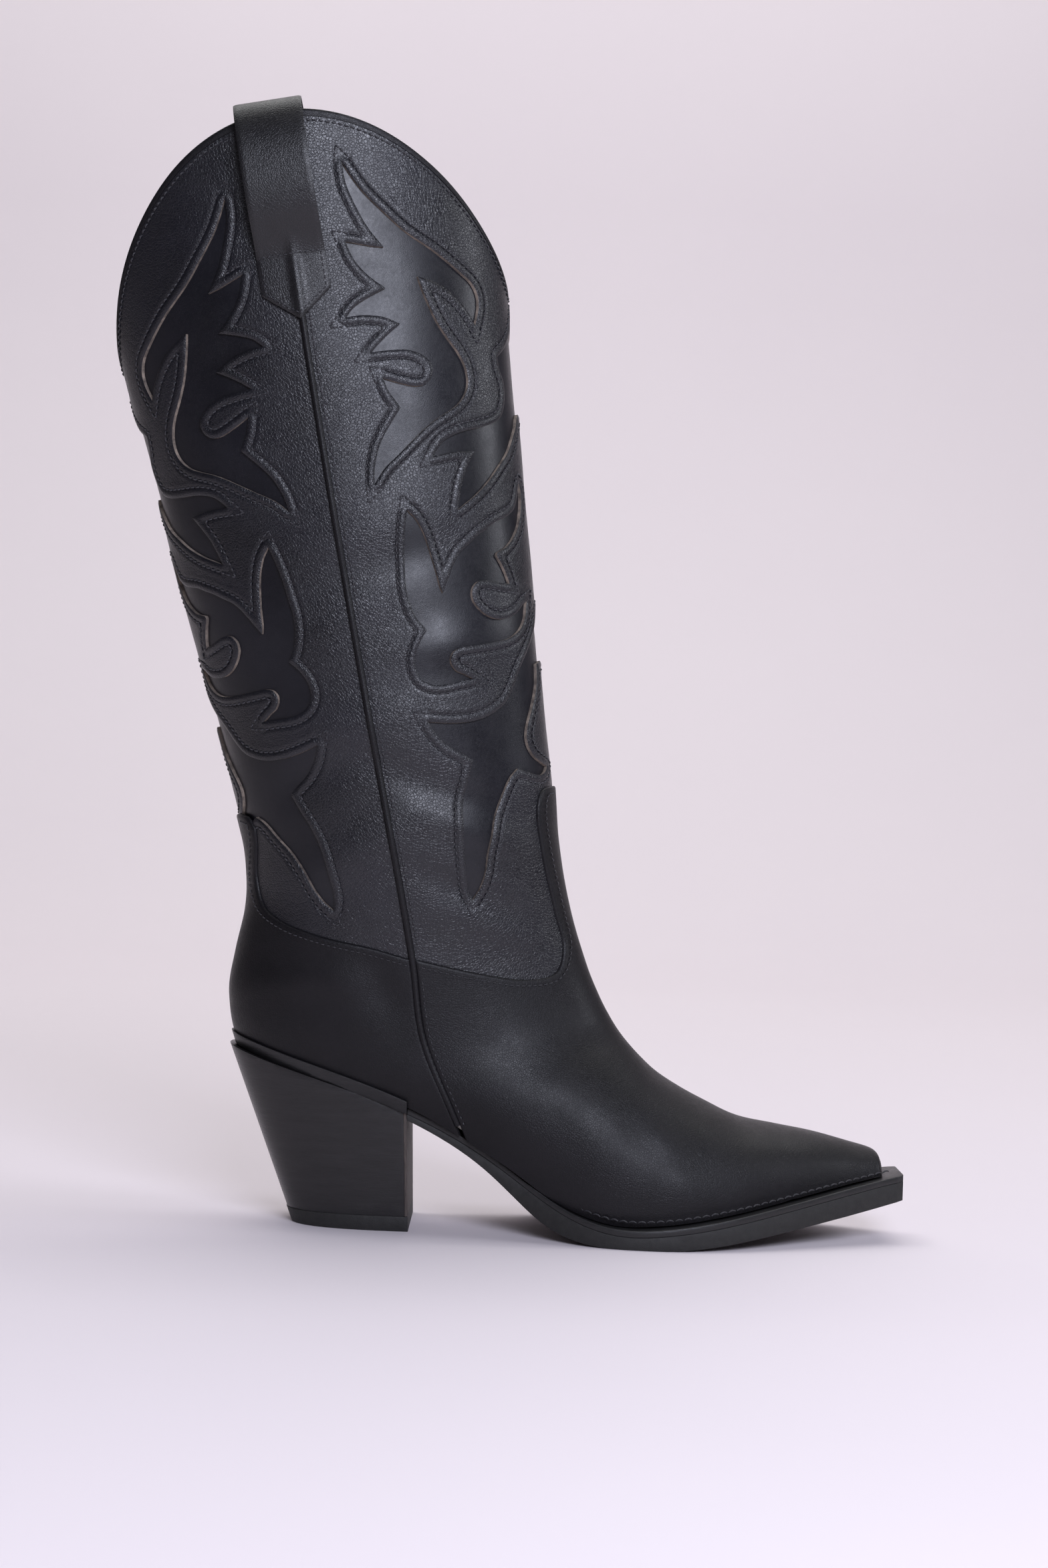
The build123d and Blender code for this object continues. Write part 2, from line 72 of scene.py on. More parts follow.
# Each section of the upper: ridge x, ridge z, base x, base z, half width, centre y, place of the
# widest point from the base, roundness exponent on the ridge side, the same on the base side.
SECTIONS = np.array([
    (147.9, 30.5, 147.9, 16.0, 10.5, 4.0, 0.40, 2.6, 3.0),
    (147.0, 33.0, 147.0, 12.0, 12.0, 4.0, 0.40, 2.6, 3.0),
    (144.0, 34.9, 144.0, 9.0, 13.6, 4.0, 0.40, 2.4, 3.0),
    (136.0, 37.0, 136.0, 6.0, 17.0, 3.8, 0.42, 2.3, 3.0),
    (122.0, 40.3, 122.0, 2.0, 23.0, 3.0, 0.44, 2.2, 3.0),
    (106.0, 43.3, 104.0, -2.0, 30.0, 2.0, 0.44, 2.1, 2.8),
    (90.0, 46.6, 84.0, -6.0, 36.0, 0.0, 0.42, 2.0, 2.8),
    (76.0, 52.9, 62.0, -9.0, 39.5, -1.5, 0.40, 1.95, 2.8),
    (64.5, 58.7, 42.0, -9.0, 40.0, -2.2, 0.40, 1.95, 2.6),
    (56.1, 63.8, 20.0, -4.0, 38.5, -2.8, 0.42, 1.95, 2.3),
    (50.0, 69.2, -8.0, 13.0, 35.5, -3.2, 0.44, 1.95, 2.05),
    (45.0, 74.6, -38.0, 32.0, 33.5, -2.8, 0.45, 1.95, 1.95),
    (40.5, 80.2, -68.0, 44.0, 32.0, -2.0, 0.45, 1.95, 2.0),
    (36.3, 86.5, -95.0, 55.0, 31.5, -1.2, 0.45, 1.95, 2.1),
    (32.0, 94.0, -110.0, 71.0, 31.5, -0.6, 0.46, 1.95, 2.2),
    (26.8, 105.0, -114.3, 90.0, 32.0, 0.0, 0.47, 1.95, 2.2),
    (21.4, 120.6, -112.6, 108.0, 33.0, 0.0, 0.48, 1.95, 2.1),
    (16.8, 139.0, -109.8, 124.5, 34.8, 0.0, 0.49, 2.0, 2.0),
    (13.4, 158.0, -109.6, 138.0, 36.4, 0.0, 0.50, 2.0, 2.0),
    (10.8, 181.0, -112.0, 154.0, 37.5, 0.0, 0.50, 2.0, 2.0),
    (-1.6, 278.5, -140.0, 247.5, 41.0, 0.0, 0.50, 2.0, 2.0),
    (-14.0, 376.0, -168.0, 341.0, 44.5, 0.0, 0.50, 2.0, 2.0),
    (-26.7, 476.0, -196.7, 437.0, 48.0, 0.0, 0.50, 2.0, 2.0),
])
LAST = len(SECTIONS) - 1
SHAFT_EASE = 0.2  # the section under the shaft is this much shorter than the shaft's own

# Side-view curves, as (x, z).
FEATHER = [(-125, 79.5), (-97, 70.3), (-70, 62.3), (-35, 49.5), (-5, 33), (20, 17.2),
           (40, 10.8), (60, 11), (90, 15.8), (125, 23.2), (168, 31.5)]
SIDE_SEAM = [(-113, 480), (-92, 356), (-65.5, 223), (-46.5, 134), (-41, 106), (-36, 77),
             (-21, 44), (-8, 15)]
VAMP_EDGE = [(12, 178), (7, 176.2), (5.4, 170), (7.5, 153.5), (14, 127.5), (17.5, 113),
             (15, 103.5), (4, 101), (-14, 103), (-41, 108.3), (-60, 112)]
COUNTER_EDGE = [(-30, 105.5), (-41, 107.8), (-56.5, 111.7), (-77.6, 115.7), (-93.5, 120.7),
                (-101, 126), (-104.6, 136), (-104.8, 152), (-106.5, 160), (-111, 162.3)]
SOLE_OUTER = [(-45, -28.5), (-20, -28.5), (5, -33), (30, -44), (55, -49), (82, -45.5), (110, -33.5),
              (140, -18), (155, -10)]
SOLE_INNER = [(155, 18), (140, 26), (110, 38.5), (82, 44.5), (55, 44.5), (30, 37.5), (5, 27.5),
              (-20, 24), (-45, 25)]

# The four cut-outs on one side of a shaft panel, as (distance from the shaft's side line towards the
# panel's middle, height over the ankle). Each list is a smooth run that starts at a sharp corner.
CUT_FLAME = [
    [(24.1, 248.6), (26.7, 242.8), (30, 236.7), (37.8, 226.7), (44.4, 219.4), (55.6, 210.3),
     (65.6, 201.1), (69.8, 197), (71.5, 193.3), (71.7, 190), (70.6, 186)],
    [(68, 180.6), (65.6, 185.6), (61.7, 191.1), (56.7, 196.1), (51.1, 199.5)],
    [(46.3, 201.5), (47.2, 196.7), (48.9, 190), (51.1, 183.3), (54.4, 176.7), (57.8, 171.1),
     (60, 165.6), (60.5, 161), (59.8, 157.5), (57.8, 153.9), (53.8, 150.3), (48.9, 147.9),
     (44.4, 146), (38.9, 143), (33.3, 139.2), (26.7, 134.6), (20, 130)],
    [(14.8, 124.5), (16.1, 131.1), (17.8, 135.6), (20, 140), (23.3, 144.4), (26.7, 148.3)],
    [(30.2, 152.2), (26.7, 159)],
    [(25.3, 164.4), (32.2, 161.3), (38.3, 159.4), (42.2, 160), (45, 162.8), (45.8, 166.7),
     (43.3, 170.6), (37.8, 173.6), (30, 174.7)],
    [(22.5, 174.9), (26.7, 178.3), (31.1, 181.3)],
    [(35.9, 184.2), (30, 187.6), (22.2, 189.6)],
    [(15.2, 189.8), (18.9, 193.2), (24.4, 195.8)],
    [(32.6, 198.6), (26.5, 204.5), (22.2, 211)],
    [(20, 218.5), (25.6, 216.7), (30, 215.3)],
    [(34.6, 214.3), (29.5, 222.8), (26.1, 232), (24, 241)],
]
CUT_WING = [
    [(40, 131.7), (42.2, 134.4), (45.6, 137.2), (50, 138.9), (55.6, 140), (62.2, 140.7),
     (68.9, 142), (73.9, 144.3), (76.5, 147.5), (78.5, 151.5), (79.4, 157.8), (77.8, 163.3)],
    [(77.5, 168), (84, 172), (90, 177), (101, 189)],
    [(101, 147), (92, 146), (87.8, 143.9), (85.6, 141.1), (81.1, 136.7), (75.6, 130.6),
     (68.9, 125), (62.2, 119.4), (55.6, 114.8), (50, 111.7)],
    [(46.4, 109.8), (47.8, 114.4), (50, 120), (53.3, 125.6)],
    [(57.4, 131.5), (48, 132.2)],
]
CUT_LEAF = [
    [(82.3, 115), (81, 117.8), (79.4, 115.6), (77.8, 112.2), (75, 108.3), (71, 105.8),
     (66.7, 104.4), (62.2, 103.2), (57.8, 101.1), (53.3, 98.9), (48.9, 96.1), (44.4, 93.2),
     (41.1, 89.4), (37.8, 84.4)],
    [(34.2, 78.7), (33.6, 81.1), (33.1, 87.8), (32, 96.7), (30.6, 103.3), (28.3, 108.9)],
    [(25.6, 112.4), (23.9, 106.7), (22.2, 98.9), (20.9, 90), (20, 83.3), (20.5, 75.6), (22.2, 70)],
    [(25, 65.4), (22.6, 62.8), (20, 58.9), (18.3, 54.4), (18.3, 50), (20, 46.4), (23.9, 44),
     (28.9, 43.3), (34.4, 43.6)],
    [(40, 43.8), (36.7, 46.1), (33.9, 47.8), (32.4, 50.2), (32.2, 52.8), (33.9, 55.4),
     (36.7, 56.4), (42.2, 56.4), (48.9, 56.4), (55.6, 56.7), (61.1, 57.8), (66.7, 60.6),
     (71.1, 65)],
    [(74.1, 71), (71.1, 70), (66.7, 67.2), (62.2, 65.6), (55.6, 65.3), (51.1, 67.2),
     (47.8, 70.6), (46.1, 74.4), (46.7, 78.3), (49.4, 80.8), (53.3, 81), (58.9, 79.6)],
    [(64.7, 78.4), (63.9, 82.2), (62.2, 86.7), (60.5, 90.3)],
    [(61.1, 91.3), (66.7, 93.3), (72.2, 97.2), (76.7, 101.7), (79.4, 106.1), (81.7, 111.1)],
]
CUT_TAIL = [
    [(19.1, 30.2), (23.3, 29.1), (28.9, 28), (35.6, 27.4), (42.2, 28), (47.8, 29.8), (53.3, 33),
     (57, 37.2), (62.2, 44.4), (68.9, 51.5), (75, 57.5), (88, 69)],
    [(88, 47.8), (82, 47)],
    [(75.6, 46), (73.3, 38), (68.9, 31.1), (65, 25.6), (62.2, 21.1), (61.1, 17.2), (61.7, 13.3),
     (64.4, 9.4), (68.9, 6.7)],
    [(73, 5), (71.1, 3.3), (66.7, 2), (62.2, 2.8), (57.8, 4.4)],
    [(53.9, 6), (50, 3.3), (46.7, -0.6), (43.3, -5.6), (40, -11.1), (37.8, -16.7), (36.1, -22.2),
     (35, -28.9), (33.3, -34.4)],
    [(30.4, -38.9), (28.3, -34.4), (27, -28.9), (26.3, -22.2), (26.1, -15.6), (26.7, -8.9),
     (28.3, -2.2), (31.1, 4.4)],
    [(34.5, 12.5), (31.1, 15.3), (26.7, 18.4), (23, 22.4), (20.6, 26.5)],
]
CUTS = [CUT_FLAME, CUT_WING, CUT_LEAF, CUT_TAIL]


# ---- curves -------------------------------------------------------------------------------------
def blend(at, first, last, low, high):
    """The straight mix of low and high as a value goes from first to last."""
    return (last - at) / (last - first) * low + (at - first) / (last - first) * high


def smooth_line(points, step=1.2):
    """A Catmull-Rom line through the points, in steps of about this length."""
    points = np.array(points, float)
    if len(points) == 2:
        count = max(1, round(np.linalg.norm(points[1] - points[0]) / step))
        return points[0] + np.linspace(0, 1, count + 1)[:, None] * (points[1] - points[0])
    ends = np.vstack([2 * points[0] - points[1], points, 2 * points[-1] - points[-2]])
    line = []
    for a, b, c, d in zip(ends, ends[1:], ends[2:], ends[3:]):
        lengths = [max(1e-6, np.linalg.norm(q - p)) ** 0.5 for p, q in ((a, b), (b, c), (c, d))]
        k0, k1, k2, k3 = np.cumsum([0] + lengths)
        count = max(1, round(np.linalg.norm(c - b) / step))
        at = np.linspace(k1, k2, count, endpoint=False)[:, None]
        ab = blend(at, k0, k1, a, b)
        bc = blend(at, k1, k2, b, c)
        cd = blend(at, k2, k3, c, d)
        abc = blend(at, k0, k2, ab, bc)
        bcd = blend(at, k1, k3, bc, cd)
        line.append(blend(at, k1, k2, abc, bcd))
    return np.vstack(line + [points[-1:]])


def closed_outline(runs, step=1.2):
    """One closed line from smooth runs that meet at sharp corners."""
    parts = []
    for run, following in zip(runs, runs[1:] + runs[:1]):
        parts.append(smooth_line(run + following[:1], step)[:-1])
    return np.vstack(parts)


def resample(line, pitch):
    """Points along a line at even steps, none at a step longer than the pitch."""
    lengths = np.linalg.norm(np.diff(line, axis=0), axis=1)
    along = np.concatenate([[0], np.cumsum(lengths)])
    count = max(2, int(round(along[-1] / pitch)) + 1)
    places = np.linspace(0, along[-1], count)
    return np.stack([np.interp(places, along, column) for column in line.T], 1)


def closed(ring):
    return np.vstack([ring, ring[:1]])


def unit(rows):
    """Each row at length one."""
    return rows / np.maximum(1e-9, np.linalg.norm(rows, axis=1))[:, None]


def inside(points, ring):
    """Which points lie inside a closed line."""
    hit = np.zeros(len(points), bool)
    x, y = points.T
    for (x0, y0), (x1, y1) in zip(ring, np.roll(ring, -1, axis=0)):
        if y0 == y1:
            continue
        crosses = (y0 > y) != (y1 > y)
        hit ^= crosses & (x < x0 + (y - y0) * (x1 - x0) / (y1 - y0))
    return hit


def distance(points, line):
    """How far each point is from a line."""
    best = np.full(len(points), 1e9)
    for a, b in zip(line[:-1], line[1:]):
        run = b - a
        share = np.clip((points - a) @ run / max(run @ run, 1e-12), 0, 1)
        best = np.minimum(best, np.linalg.norm(points - a - share[:, None] * run, axis=1))
    return best


FEATHER_LINE = smooth_line(FEATHER, 2)
SEAM_LINE = smooth_line(SIDE_SEAM, 2)


def feather_z(x):
    return np.interp(x, FEATHER_LINE[:, 0], FEATHER_LINE[:, 1])


def seam_x(z):
    return np.interp(z, SEAM_LINE[::-1, 1], SEAM_LINE[::-1, 0])


# ---- the surface of the upper -------------------------------------------------------------------
TIP_BULGE = 1.2
CREASE_GAIN = 1.5
WAVE_HEIGHT = 0.7
WAVE_LENGTH = 38.0


def signed_power(value, power):
    return np.sign(value) * np.abs(value) ** power


def sections_at(place):
    """The sections in between the listed ones: curved up to the ankle, straight in the shaft."""
    place = np.clip(place, 0, LAST)
    low = np.minimum(place.astype(int), LAST - 1)
    part = (place - low)[:, None]
    before, start, end, after = [SECTIONS[np.clip(low + k, 0, LAST)] for k in (-1, 0, 1, 2)]
    slope_in = (end - before) / 2
    slope_out = np.where(low[:, None] == ANKLE - 1, (after - end) * SHAFT_EASE, (after - start) / 2)
    rise = end - start
    curved = (start + slope_in * part + (3 * rise - 2 * slope_in - slope_out) * part ** 2
              + (slope_in + slope_out - 2 * rise) * part ** 3)
    return np.where(low[:, None] >= ANKLE, start + rise * part, curved)


CREASES = [
    # x, z, half length across, half length along, turn, height
    (-58, 262, 30, 9, 0.35, -0.7), (-30, 232, 26, 8, 0.25, 0.7), (-62, 200, 34, 10, 0.3, 0.5),
    (-36, 176, 26, 7, -0.35, -0.9), (-20, 160, 22, 6, -0.3, 0.7), (-62, 150, 26, 8, 0.5, 0.6),
    (-24, 136, 24, 6, -0.4, -0.8), (-10, 122, 20, 6, -0.3, 0.5), (-82, 178, 22, 8, 0.5, -0.5),
    (-52, 96, 7, 16, 0.5, -0.6), (-66, 92, 9, 18, 0.5, 0.4), (-78, 98, 24, 6, 0.1, 0.4),
    (22, 88, 26, 9, -0.75, -0.5), (52, 52, 20, 8, -0.8, 0.4), (70, 34, 24, 7, -0.5, -0.5),
    (28, 52, 26, 10, -0.9, 0.5), (60, 40, 9, 5, -0.6, 0.5),
]


def softness(points):
    """How far the worn leather stands out of the ideal surface at each point."""
    out = np.zeros(len(points))
    for x, z, across, along, turn, height in CREASES:
        dx = points[:, 0] - x
        dz = points[:, 2] - z
        a = dx * math.cos(turn) + dz * math.sin(turn)
        b = dz * math.cos(turn) - dx * math.sin(turn)
        out += CREASE_GAIN * height * np.exp(-(a / across) ** 2 - (b / along) ** 2)
    for k, (x, y, z) in enumerate(points):
        out[k] += WAVE_HEIGHT * noise.noise(Vector((x, y * 0.8, z)) / WAVE_LENGTH)
    return out


def surface(place, turn, inset, soft=True):
    """Points of the upper: turn 0 is the ridge, half a turn the base; minus is the outer side."""
    place = np.asarray(place, float)
    inset = np.broadcast_to(np.asarray(inset, float), place.shape)
    ridge_x, ridge_z, base_x, base_z, half_width, centre, widest, ridge_n, base_n = sections_at(place).T
    length = np.hypot(ridge_x - base_x, ridge_z - base_z)
    along_x = (ridge_x - base_x) / length
    along_z = (ridge_z - base_z) / length
    cosine = np.cos(turn)
    sine = np.sin(turn)
    power = 2 / np.where(cosine >= 0, ridge_n, base_n)

    def placed(depth):
        reach = np.where(cosine >= 0, 1 - widest, widest) * length - depth
        along = widest * length + signed_power(cosine, power) * reach
        across = signed_power(sine, power) * (half_width - depth)
        shrink = 1 + np.minimum(place, 0)
        along = widest * length + (along - widest * length) * shrink
        behind_tip = depth * np.clip(1 - place / 3, 0, 1)
        x = base_x + along_x * along - behind_tip + TIP_BULGE * (1 - shrink ** 2)
        return np.stack([x, centre + across * shrink, base_z + along_z * along], 1)

    if not soft:
        return placed(inset)
    swell = softness(placed(np.zeros_like(place)))
    return placed(inset - swell)


# ---- the flat pattern of the shaft --------------------------------------------------------------
PLACES = np.linspace(13.0, LAST, 361)
TURNS = np.linspace(0, math.pi, 361)
ARCS = []
SEAM_TURNS = []
for place in PLACES:
    ring = surface(np.full(len(TURNS), place), -TURNS, 0.0, soft=False)
    ARCS.append(np.concatenate([[0], np.cumsum(np.linalg.norm(np.diff(ring, axis=0), axis=1))]))
    behind = seam_x(ring[:, 2]) - ring[:, 0]
    SEAM_TURNS.append(np.interp(0, behind[60:300], TURNS[60:300]))
ARCS = np.array(ARCS)
SEAM_TURNS = np.array(SEAM_TURNS)
middles = sections_at(PLACES)
middles = np.stack([(middles[:, 0] + middles[:, 2]) / 2, (middles[:, 1] + middles[:, 3]) / 2], 1)
HEIGHTS = np.concatenate([[0], np.cumsum(np.linalg.norm(np.diff(middles, axis=0), axis=1))])
HEIGHTS -= np.interp(ANKLE, PLACES, HEIGHTS)


def place_at(height):
    return np.interp(height, HEIGHTS, PLACES)


def height_at(place):
    return np.interp(place, PLACES, HEIGHTS)


def arc_row(place):
    """Distance round the shaft from its front at each turn, at one place."""
    spot = np.interp(place, PLACES, np.arange(len(PLACES)))
    low = min(int(spot), len(PLACES) - 2)
    return ARCS[low] + (ARCS[low + 1] - ARCS[low]) * (spot - low)


def arc_at(place, turn, back):
    row = arc_row(place)
    reached = np.interp(turn, TURNS, row)
    return row[-1] - reached if back else reached


def turns_at(arcs, heights, back):
    places = place_at(heights)
    turns = np.empty(len(arcs))
    for k, (arc, place) in enumerate(zip(arcs, places)):
        row = arc_row(place)
        turns[k] = np.interp(row[-1] - arc if back else arc, row, TURNS)
    return places, turns


def collar_place(turn):
    return ANKLE + (COLLAR_DIP + COLLAR_RISE * np.abs(np.sin(turn)) ** COLLAR_POWER) / SHAFT_STEP


def to_panel(points, back):
    """From (distance off the side line, height) to (distance off the panel's middle, height)."""
    moved = []
    for off_side, height in points:
        if back:
            height -= min(5.0, 0.035 * max(0.0, height))
        place = place_at(height)
        row = arc_row(place)
        side = np.interp(math.pi / 2, TURNS, row)
        seam = side - np.interp(np.interp(place, PLACES, SEAM_TURNS), TURNS, row)
        middle = row[-1] - side + 2 * seam if back else side
        moved.append((middle - off_side, height))
    return np.array(moved)


def panel_outline(back, gap, bottom):
    """Half of a shaft panel: its middle line, its foot, the seam and the collar."""
    seam = []
    for place, turn in zip(PLACES, SEAM_TURNS):
        height = height_at(place)
        if height < bottom:
            continue
        if place > collar_place(turn):
            break
        seam.append((arc_at(place, turn, back) - gap, height))
        last_turn = turn
    ends = np.linspace(last_turn, math.pi if back else 0.0, 90)[1:]
    rim = []
    for turn in ends:
        place = collar_place(turn)
        rim.append((arc_at(place, turn, back), height_at(place)))
    seam = resample(np.array(seam), 2.0)
    foot = [(x, bottom) for x in np.linspace(0, seam[0][0], 24)[1:-1]]
    middle = [(0.0, y) for y in np.linspace(rim[-1][1], bottom, 90)[1:]]
    rim[-1] = (0.0, rim[-1][1])
    return np.vstack([foot, seam, rim, middle])


# How the overlay's surface lies near a cut edge: (distances from the cut, depths). The cut corner is
# worn, the rim is puffed, and the stitches pull the leather in.
RIM_RELIEF = ([0.0, 0.45, 1.6, 2.5, 3.3, 4.2, 5.4], [0.16, -0.12, -0.34, -0.1, 0.24, -0.1, 0.0])
RIM_RINGS = RIM_RELIEF[0][1:]


# ---- mesh helpers -------------------------------------------------------------------------------
def make_object(name, points, faces, materials, indices=None, sharp=math.radians(40)):
    """A mesh object from millimetre points in the drawing's frame."""
    points = (np.asarray(points) + (DRAWING_X, 0, 0)) / 1000
    mesh = bpy.data.meshes.new(name)
    mesh.from_pydata([tuple(p) for p in points], [], [tuple(int(i) for i in f) for f in faces])
    for material in materials:
        mesh.materials.append(material)
    if indices is not None:
        mesh.polygons.foreach_set("material_index", np.asarray(indices, dtype=np.int32))
    work = bmesh.new()
    work.from_mesh(mesh)
    bmesh.ops.remove_doubles(work, verts=work.verts, dist=1e-6)
    loose = [v for v in work.verts if not v.link_faces]
    bmesh.ops.delete(work, geom=loose, context="VERTS")
    bmesh.ops.recalc_face_normals(work, faces=work.faces)
    for face in work.faces:
        face.smooth = True
    work.to_mesh(mesh)
    work.free()
    mesh.set_sharp_from_angle(angle=sharp)
    obj = bpy.data.objects.new(name, mesh)
    bpy.context.scene.collection.objects.link(obj)
    return obj


def declare(obj, slot, *nodes):
    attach(obj, "root")
    if nodes:
        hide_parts(*nodes)
    return obj


def boundary_edges(faces):
    """Directed edges that only one face has."""
    seen = {}
    for face in faces:
        for a, b in zip(face, np.roll(face, -1)):
            key = (min(a, b), max(a, b))
            seen.setdefault(key, []).append((int(a), int(b)))
    return [runs[0] for runs in seen.values() if len(runs) == 1]


def grid_faces(rows, columns, ring=False, loop=False):
    """Faces of a grid of points; a ring joins each row's ends, a loop joins the last row to the first."""
    faces = []
    for i in range(rows if loop else rows - 1):
        near = i * columns
        far = (i + 1) % rows * columns
        for j in range(columns if ring else columns - 1):
            k = (j + 1) % columns
            faces.append((near + j, near + k, far + k, far + j))
    return faces


def close_sheet(top, bottom, faces):
    """A closed sheet from a top and a bottom that share their faces, and which faces are its wall."""
    count = len(top)
    points = np.vstack([top, bottom])
    walls = [(b, a, a + count, b + count) for a, b in boundary_edges(faces)]
    under = [tuple(i + count for i in face[::-1]) for face in faces]
    is_wall = [0] * (2 * len(faces)) + [1] * len(walls)
    return points, [tuple(f) for f in faces] + under + walls, is_wall


def split(data, faces, column, level, drop):
    """Splits triangles where a column of the points' data passes a level, and drops what is under."""
    data = data.copy()
    value = data[:, column]
    value[np.abs(value - level) < 1e-5] += 2e-5
    above = value >= level
    faces = np.asarray(faces)
    counts = above[faces].sum(axis=1)
    kept = list(map(tuple, faces[counts == 3]))
    if not drop:
        kept += list(map(tuple, faces[counts == 0]))
    rows = list(data)
    made = {}

    def crossing(a, b):
        key = (min(a, b), max(a, b))
        if key not in made:
            share = (level - data[key[0], column]) / (data[key[1], column] - data[key[0], column])
            row = data[key[0]] + (data[key[1]] - data[key[0]]) * share
            row[column] = level
            made[key] = len(rows)
            rows.append(row)
        return made[key]

    for face, count in zip(faces, counts):
        if count in (0, 3):
            continue
        lone = [k for k in range(3) if above[face[k]] == (count == 1)][0]
        a, b, c = int(face[lone]), int(face[(lone + 1) % 3]), int(face[(lone + 2) % 3])
        ab = crossing(a, b)
        ac = crossing(a, c)
        if above[a] or not drop:
            kept.append((a, ab, ac))
        if above[b] or not drop:
            kept += [(ab, b, c), (ab, c, ac)]
    used = np.unique(np.array(kept))
    renumber = np.full(len(rows), -1)
    renumber[used] = np.arange(len(used))
    return np.array(rows)[used], renumber[np.array(kept)]


# ---- whole shaft panels -------------------------------------------------------------------------
def half_panel(outline, holes, spacing, rings=()):
    """Triangles of half a panel in its flat pattern, with rings of points round its cut-outs."""
    lines = [outline] + holes
    points = []
    edges = []
    for line in lines:
        start = len(points)
        points += list(line)
        edges += [(start + k, start + (k + 1) % len(line)) for k in range(len(line))]
    for reach in rings:
        for line in holes:
            around = offset_points(line, reach)
            points += list(around[inside(around, outline) & (around[:, 0] > 0.4)])
    low = outline.min(axis=0)
    high = outline.max(axis=0)
    rows = np.arange(low[1], high[1], spacing * 0.87)
    grid = np.array([(x + (spacing / 2 if k % 2 else 0), y)
                     for k, y in enumerate(rows) for x in np.arange(low[0], high[0], spacing)])
    gaps = [distance(grid, closed(line)) for line in lines]
    near = np.minimum.reduce(gaps)
    from_cuts = np.minimum.reduce(gaps[1:]) if holes else near
    clear = max(spacing * 0.45, max(rings, default=0) + 0.6)
    points += list(grid[(near > spacing * 0.45) & (from_cuts > clear) & inside(grid, outline)])
    result = delaunay_2d_cdt([Vector(p) for p in points], edges, [], 0, 1e-5)
    verts = np.array([tuple(v) for v in result[0]])
    faces = np.array([f for f in result[2] if len(f) == 3])
    middle = verts[faces].mean(axis=1)
    keep = inside(middle, outline)
    for hole in holes:
        keep &= ~inside(middle, hole)
    faces = faces[keep]
    used = np.unique(faces)
    renumber = np.full(len(verts), -1)
    renumber[used] = np.arange(len(used))
    return verts[used], renumber[faces]


def offset_points(ring, reach):
    """Points this far outside a closed line, dropped where they come too near to it."""
    area = np.sum(ring[:, 0] * np.roll(ring[:, 1], -1) - np.roll(ring[:, 0], -1) * ring[:, 1])
    run = unit(np.roll(ring, -1, axis=0) - ring)
    normals = np.stack([run[:, 1], -run[:, 0]], 1) * (1 if area > 0 else -1)
    points = []
    for k in range(len(ring)):
        before = normals[k - 1]
        after = normals[k]
        mean = before + after
        size = np.linalg.norm(mean)
        if size < 0.2:
            points += [ring[k] + before * reach, ring[k] + after * reach]
            continue
        mean /= size
        half_cos = max(0.42, float(mean @ after))
        turning = (before[0] * after[1] - before[1] * after[0]) * (1 if area > 0 else -1)
        if float(before @ after) < 0.85 and turning > 0:
            points += [ring[k] + before * reach, ring[k] + mean * reach / half_cos,
                       ring[k] + after * reach]
        else:
            points.append(ring[k] + mean * reach)
    points = np.array(points)
    return points[distance(points, closed(ring)) > reach * 0.96]


def on_both_sides(verts, faces, back):
    """The half panel on the outer and the inner side, joined along the middle."""
    places, turns = turns_at(verts[:, 0], verts[:, 1], back)
    places = np.concatenate([places, places])
    turns = np.concatenate([-turns, turns])
    faces = np.vstack([faces, faces[:, ::-1] + len(verts)])
    joined = np.arange(2 * len(verts))
    middle = np.abs(verts[:, 0]) < 1e-4
    joined[len(verts):][middle] = np.arange(len(verts))[middle]
    return places, turns, joined[faces]


def make_panel(name, back, slot, materials, top, bottom, spacing, holes=(), gap=0.05, foot=-86.0,
               rings=()):
    """A shaft panel as a closed sheet of leather between two depths."""
    outline = panel_outline(back, gap, foot)
    verts, faces = half_panel(outline, list(holes), spacing, rings)
    depth = np.full(len(verts), top)
    if holes:
        from_cuts = np.minimum.reduce([distance(verts, closed(hole)) for hole in holes])
        depth += np.interp(from_cuts, *RIM_RELIEF)
    depth = np.concatenate([depth, depth])
    places, turns, faces = on_both_sides(verts, faces, back)
    upper = surface(places, turns, depth)
    lower = surface(places, turns, bottom)
    points, faces, walls = close_sheet(upper, lower, faces)
    obj = make_object(name, points, faces, materials, walls if len(materials) > 1 else None)
    return declare(obj, slot, "shaft_" + name)


# ---- stitches -----------------------------------------------------------------------------------
def stitch_points(centres, tangents, normals, length=1.95, width=0.72, bow=0.5):
    """Short threads that rise out of the leather and go back in at both ends."""
    sides = 6
    along = np.array([-0.5, -0.4, -0.2, 0.0, 0.2, 0.4, 0.5])
    thick = np.array([0.55, 0.9, 1.0, 1.0, 1.0, 0.9, 0.55])
    rise = bow * (1 - (2 * along) ** 2) - 0.12
    angle = np.arange(sides) * 2 * math.pi / sides
    across = np.cross(normals, tangents)
    rows = []
    for s, t, r in zip(along, thick, rise):
        for a in angle:
            rows.append(centres + tangents * s * length + across * (math.cos(a) * t * width / 2)
                        + normals * (r + math.sin(a) * t * width / 2.4))
    points = np.stack(rows, 1)
    size = len(along) * sides
    pattern = grid_faces(len(along), sides, ring=True)
    caps = [tuple(range(sides - 1, -1, -1)), tuple(range(size - sides, size))]
    faces = []
    for k in range(len(centres)):
        faces += [tuple(i + k * size for i in f) for f in pattern + caps]
    return points.reshape(-1, 3), faces


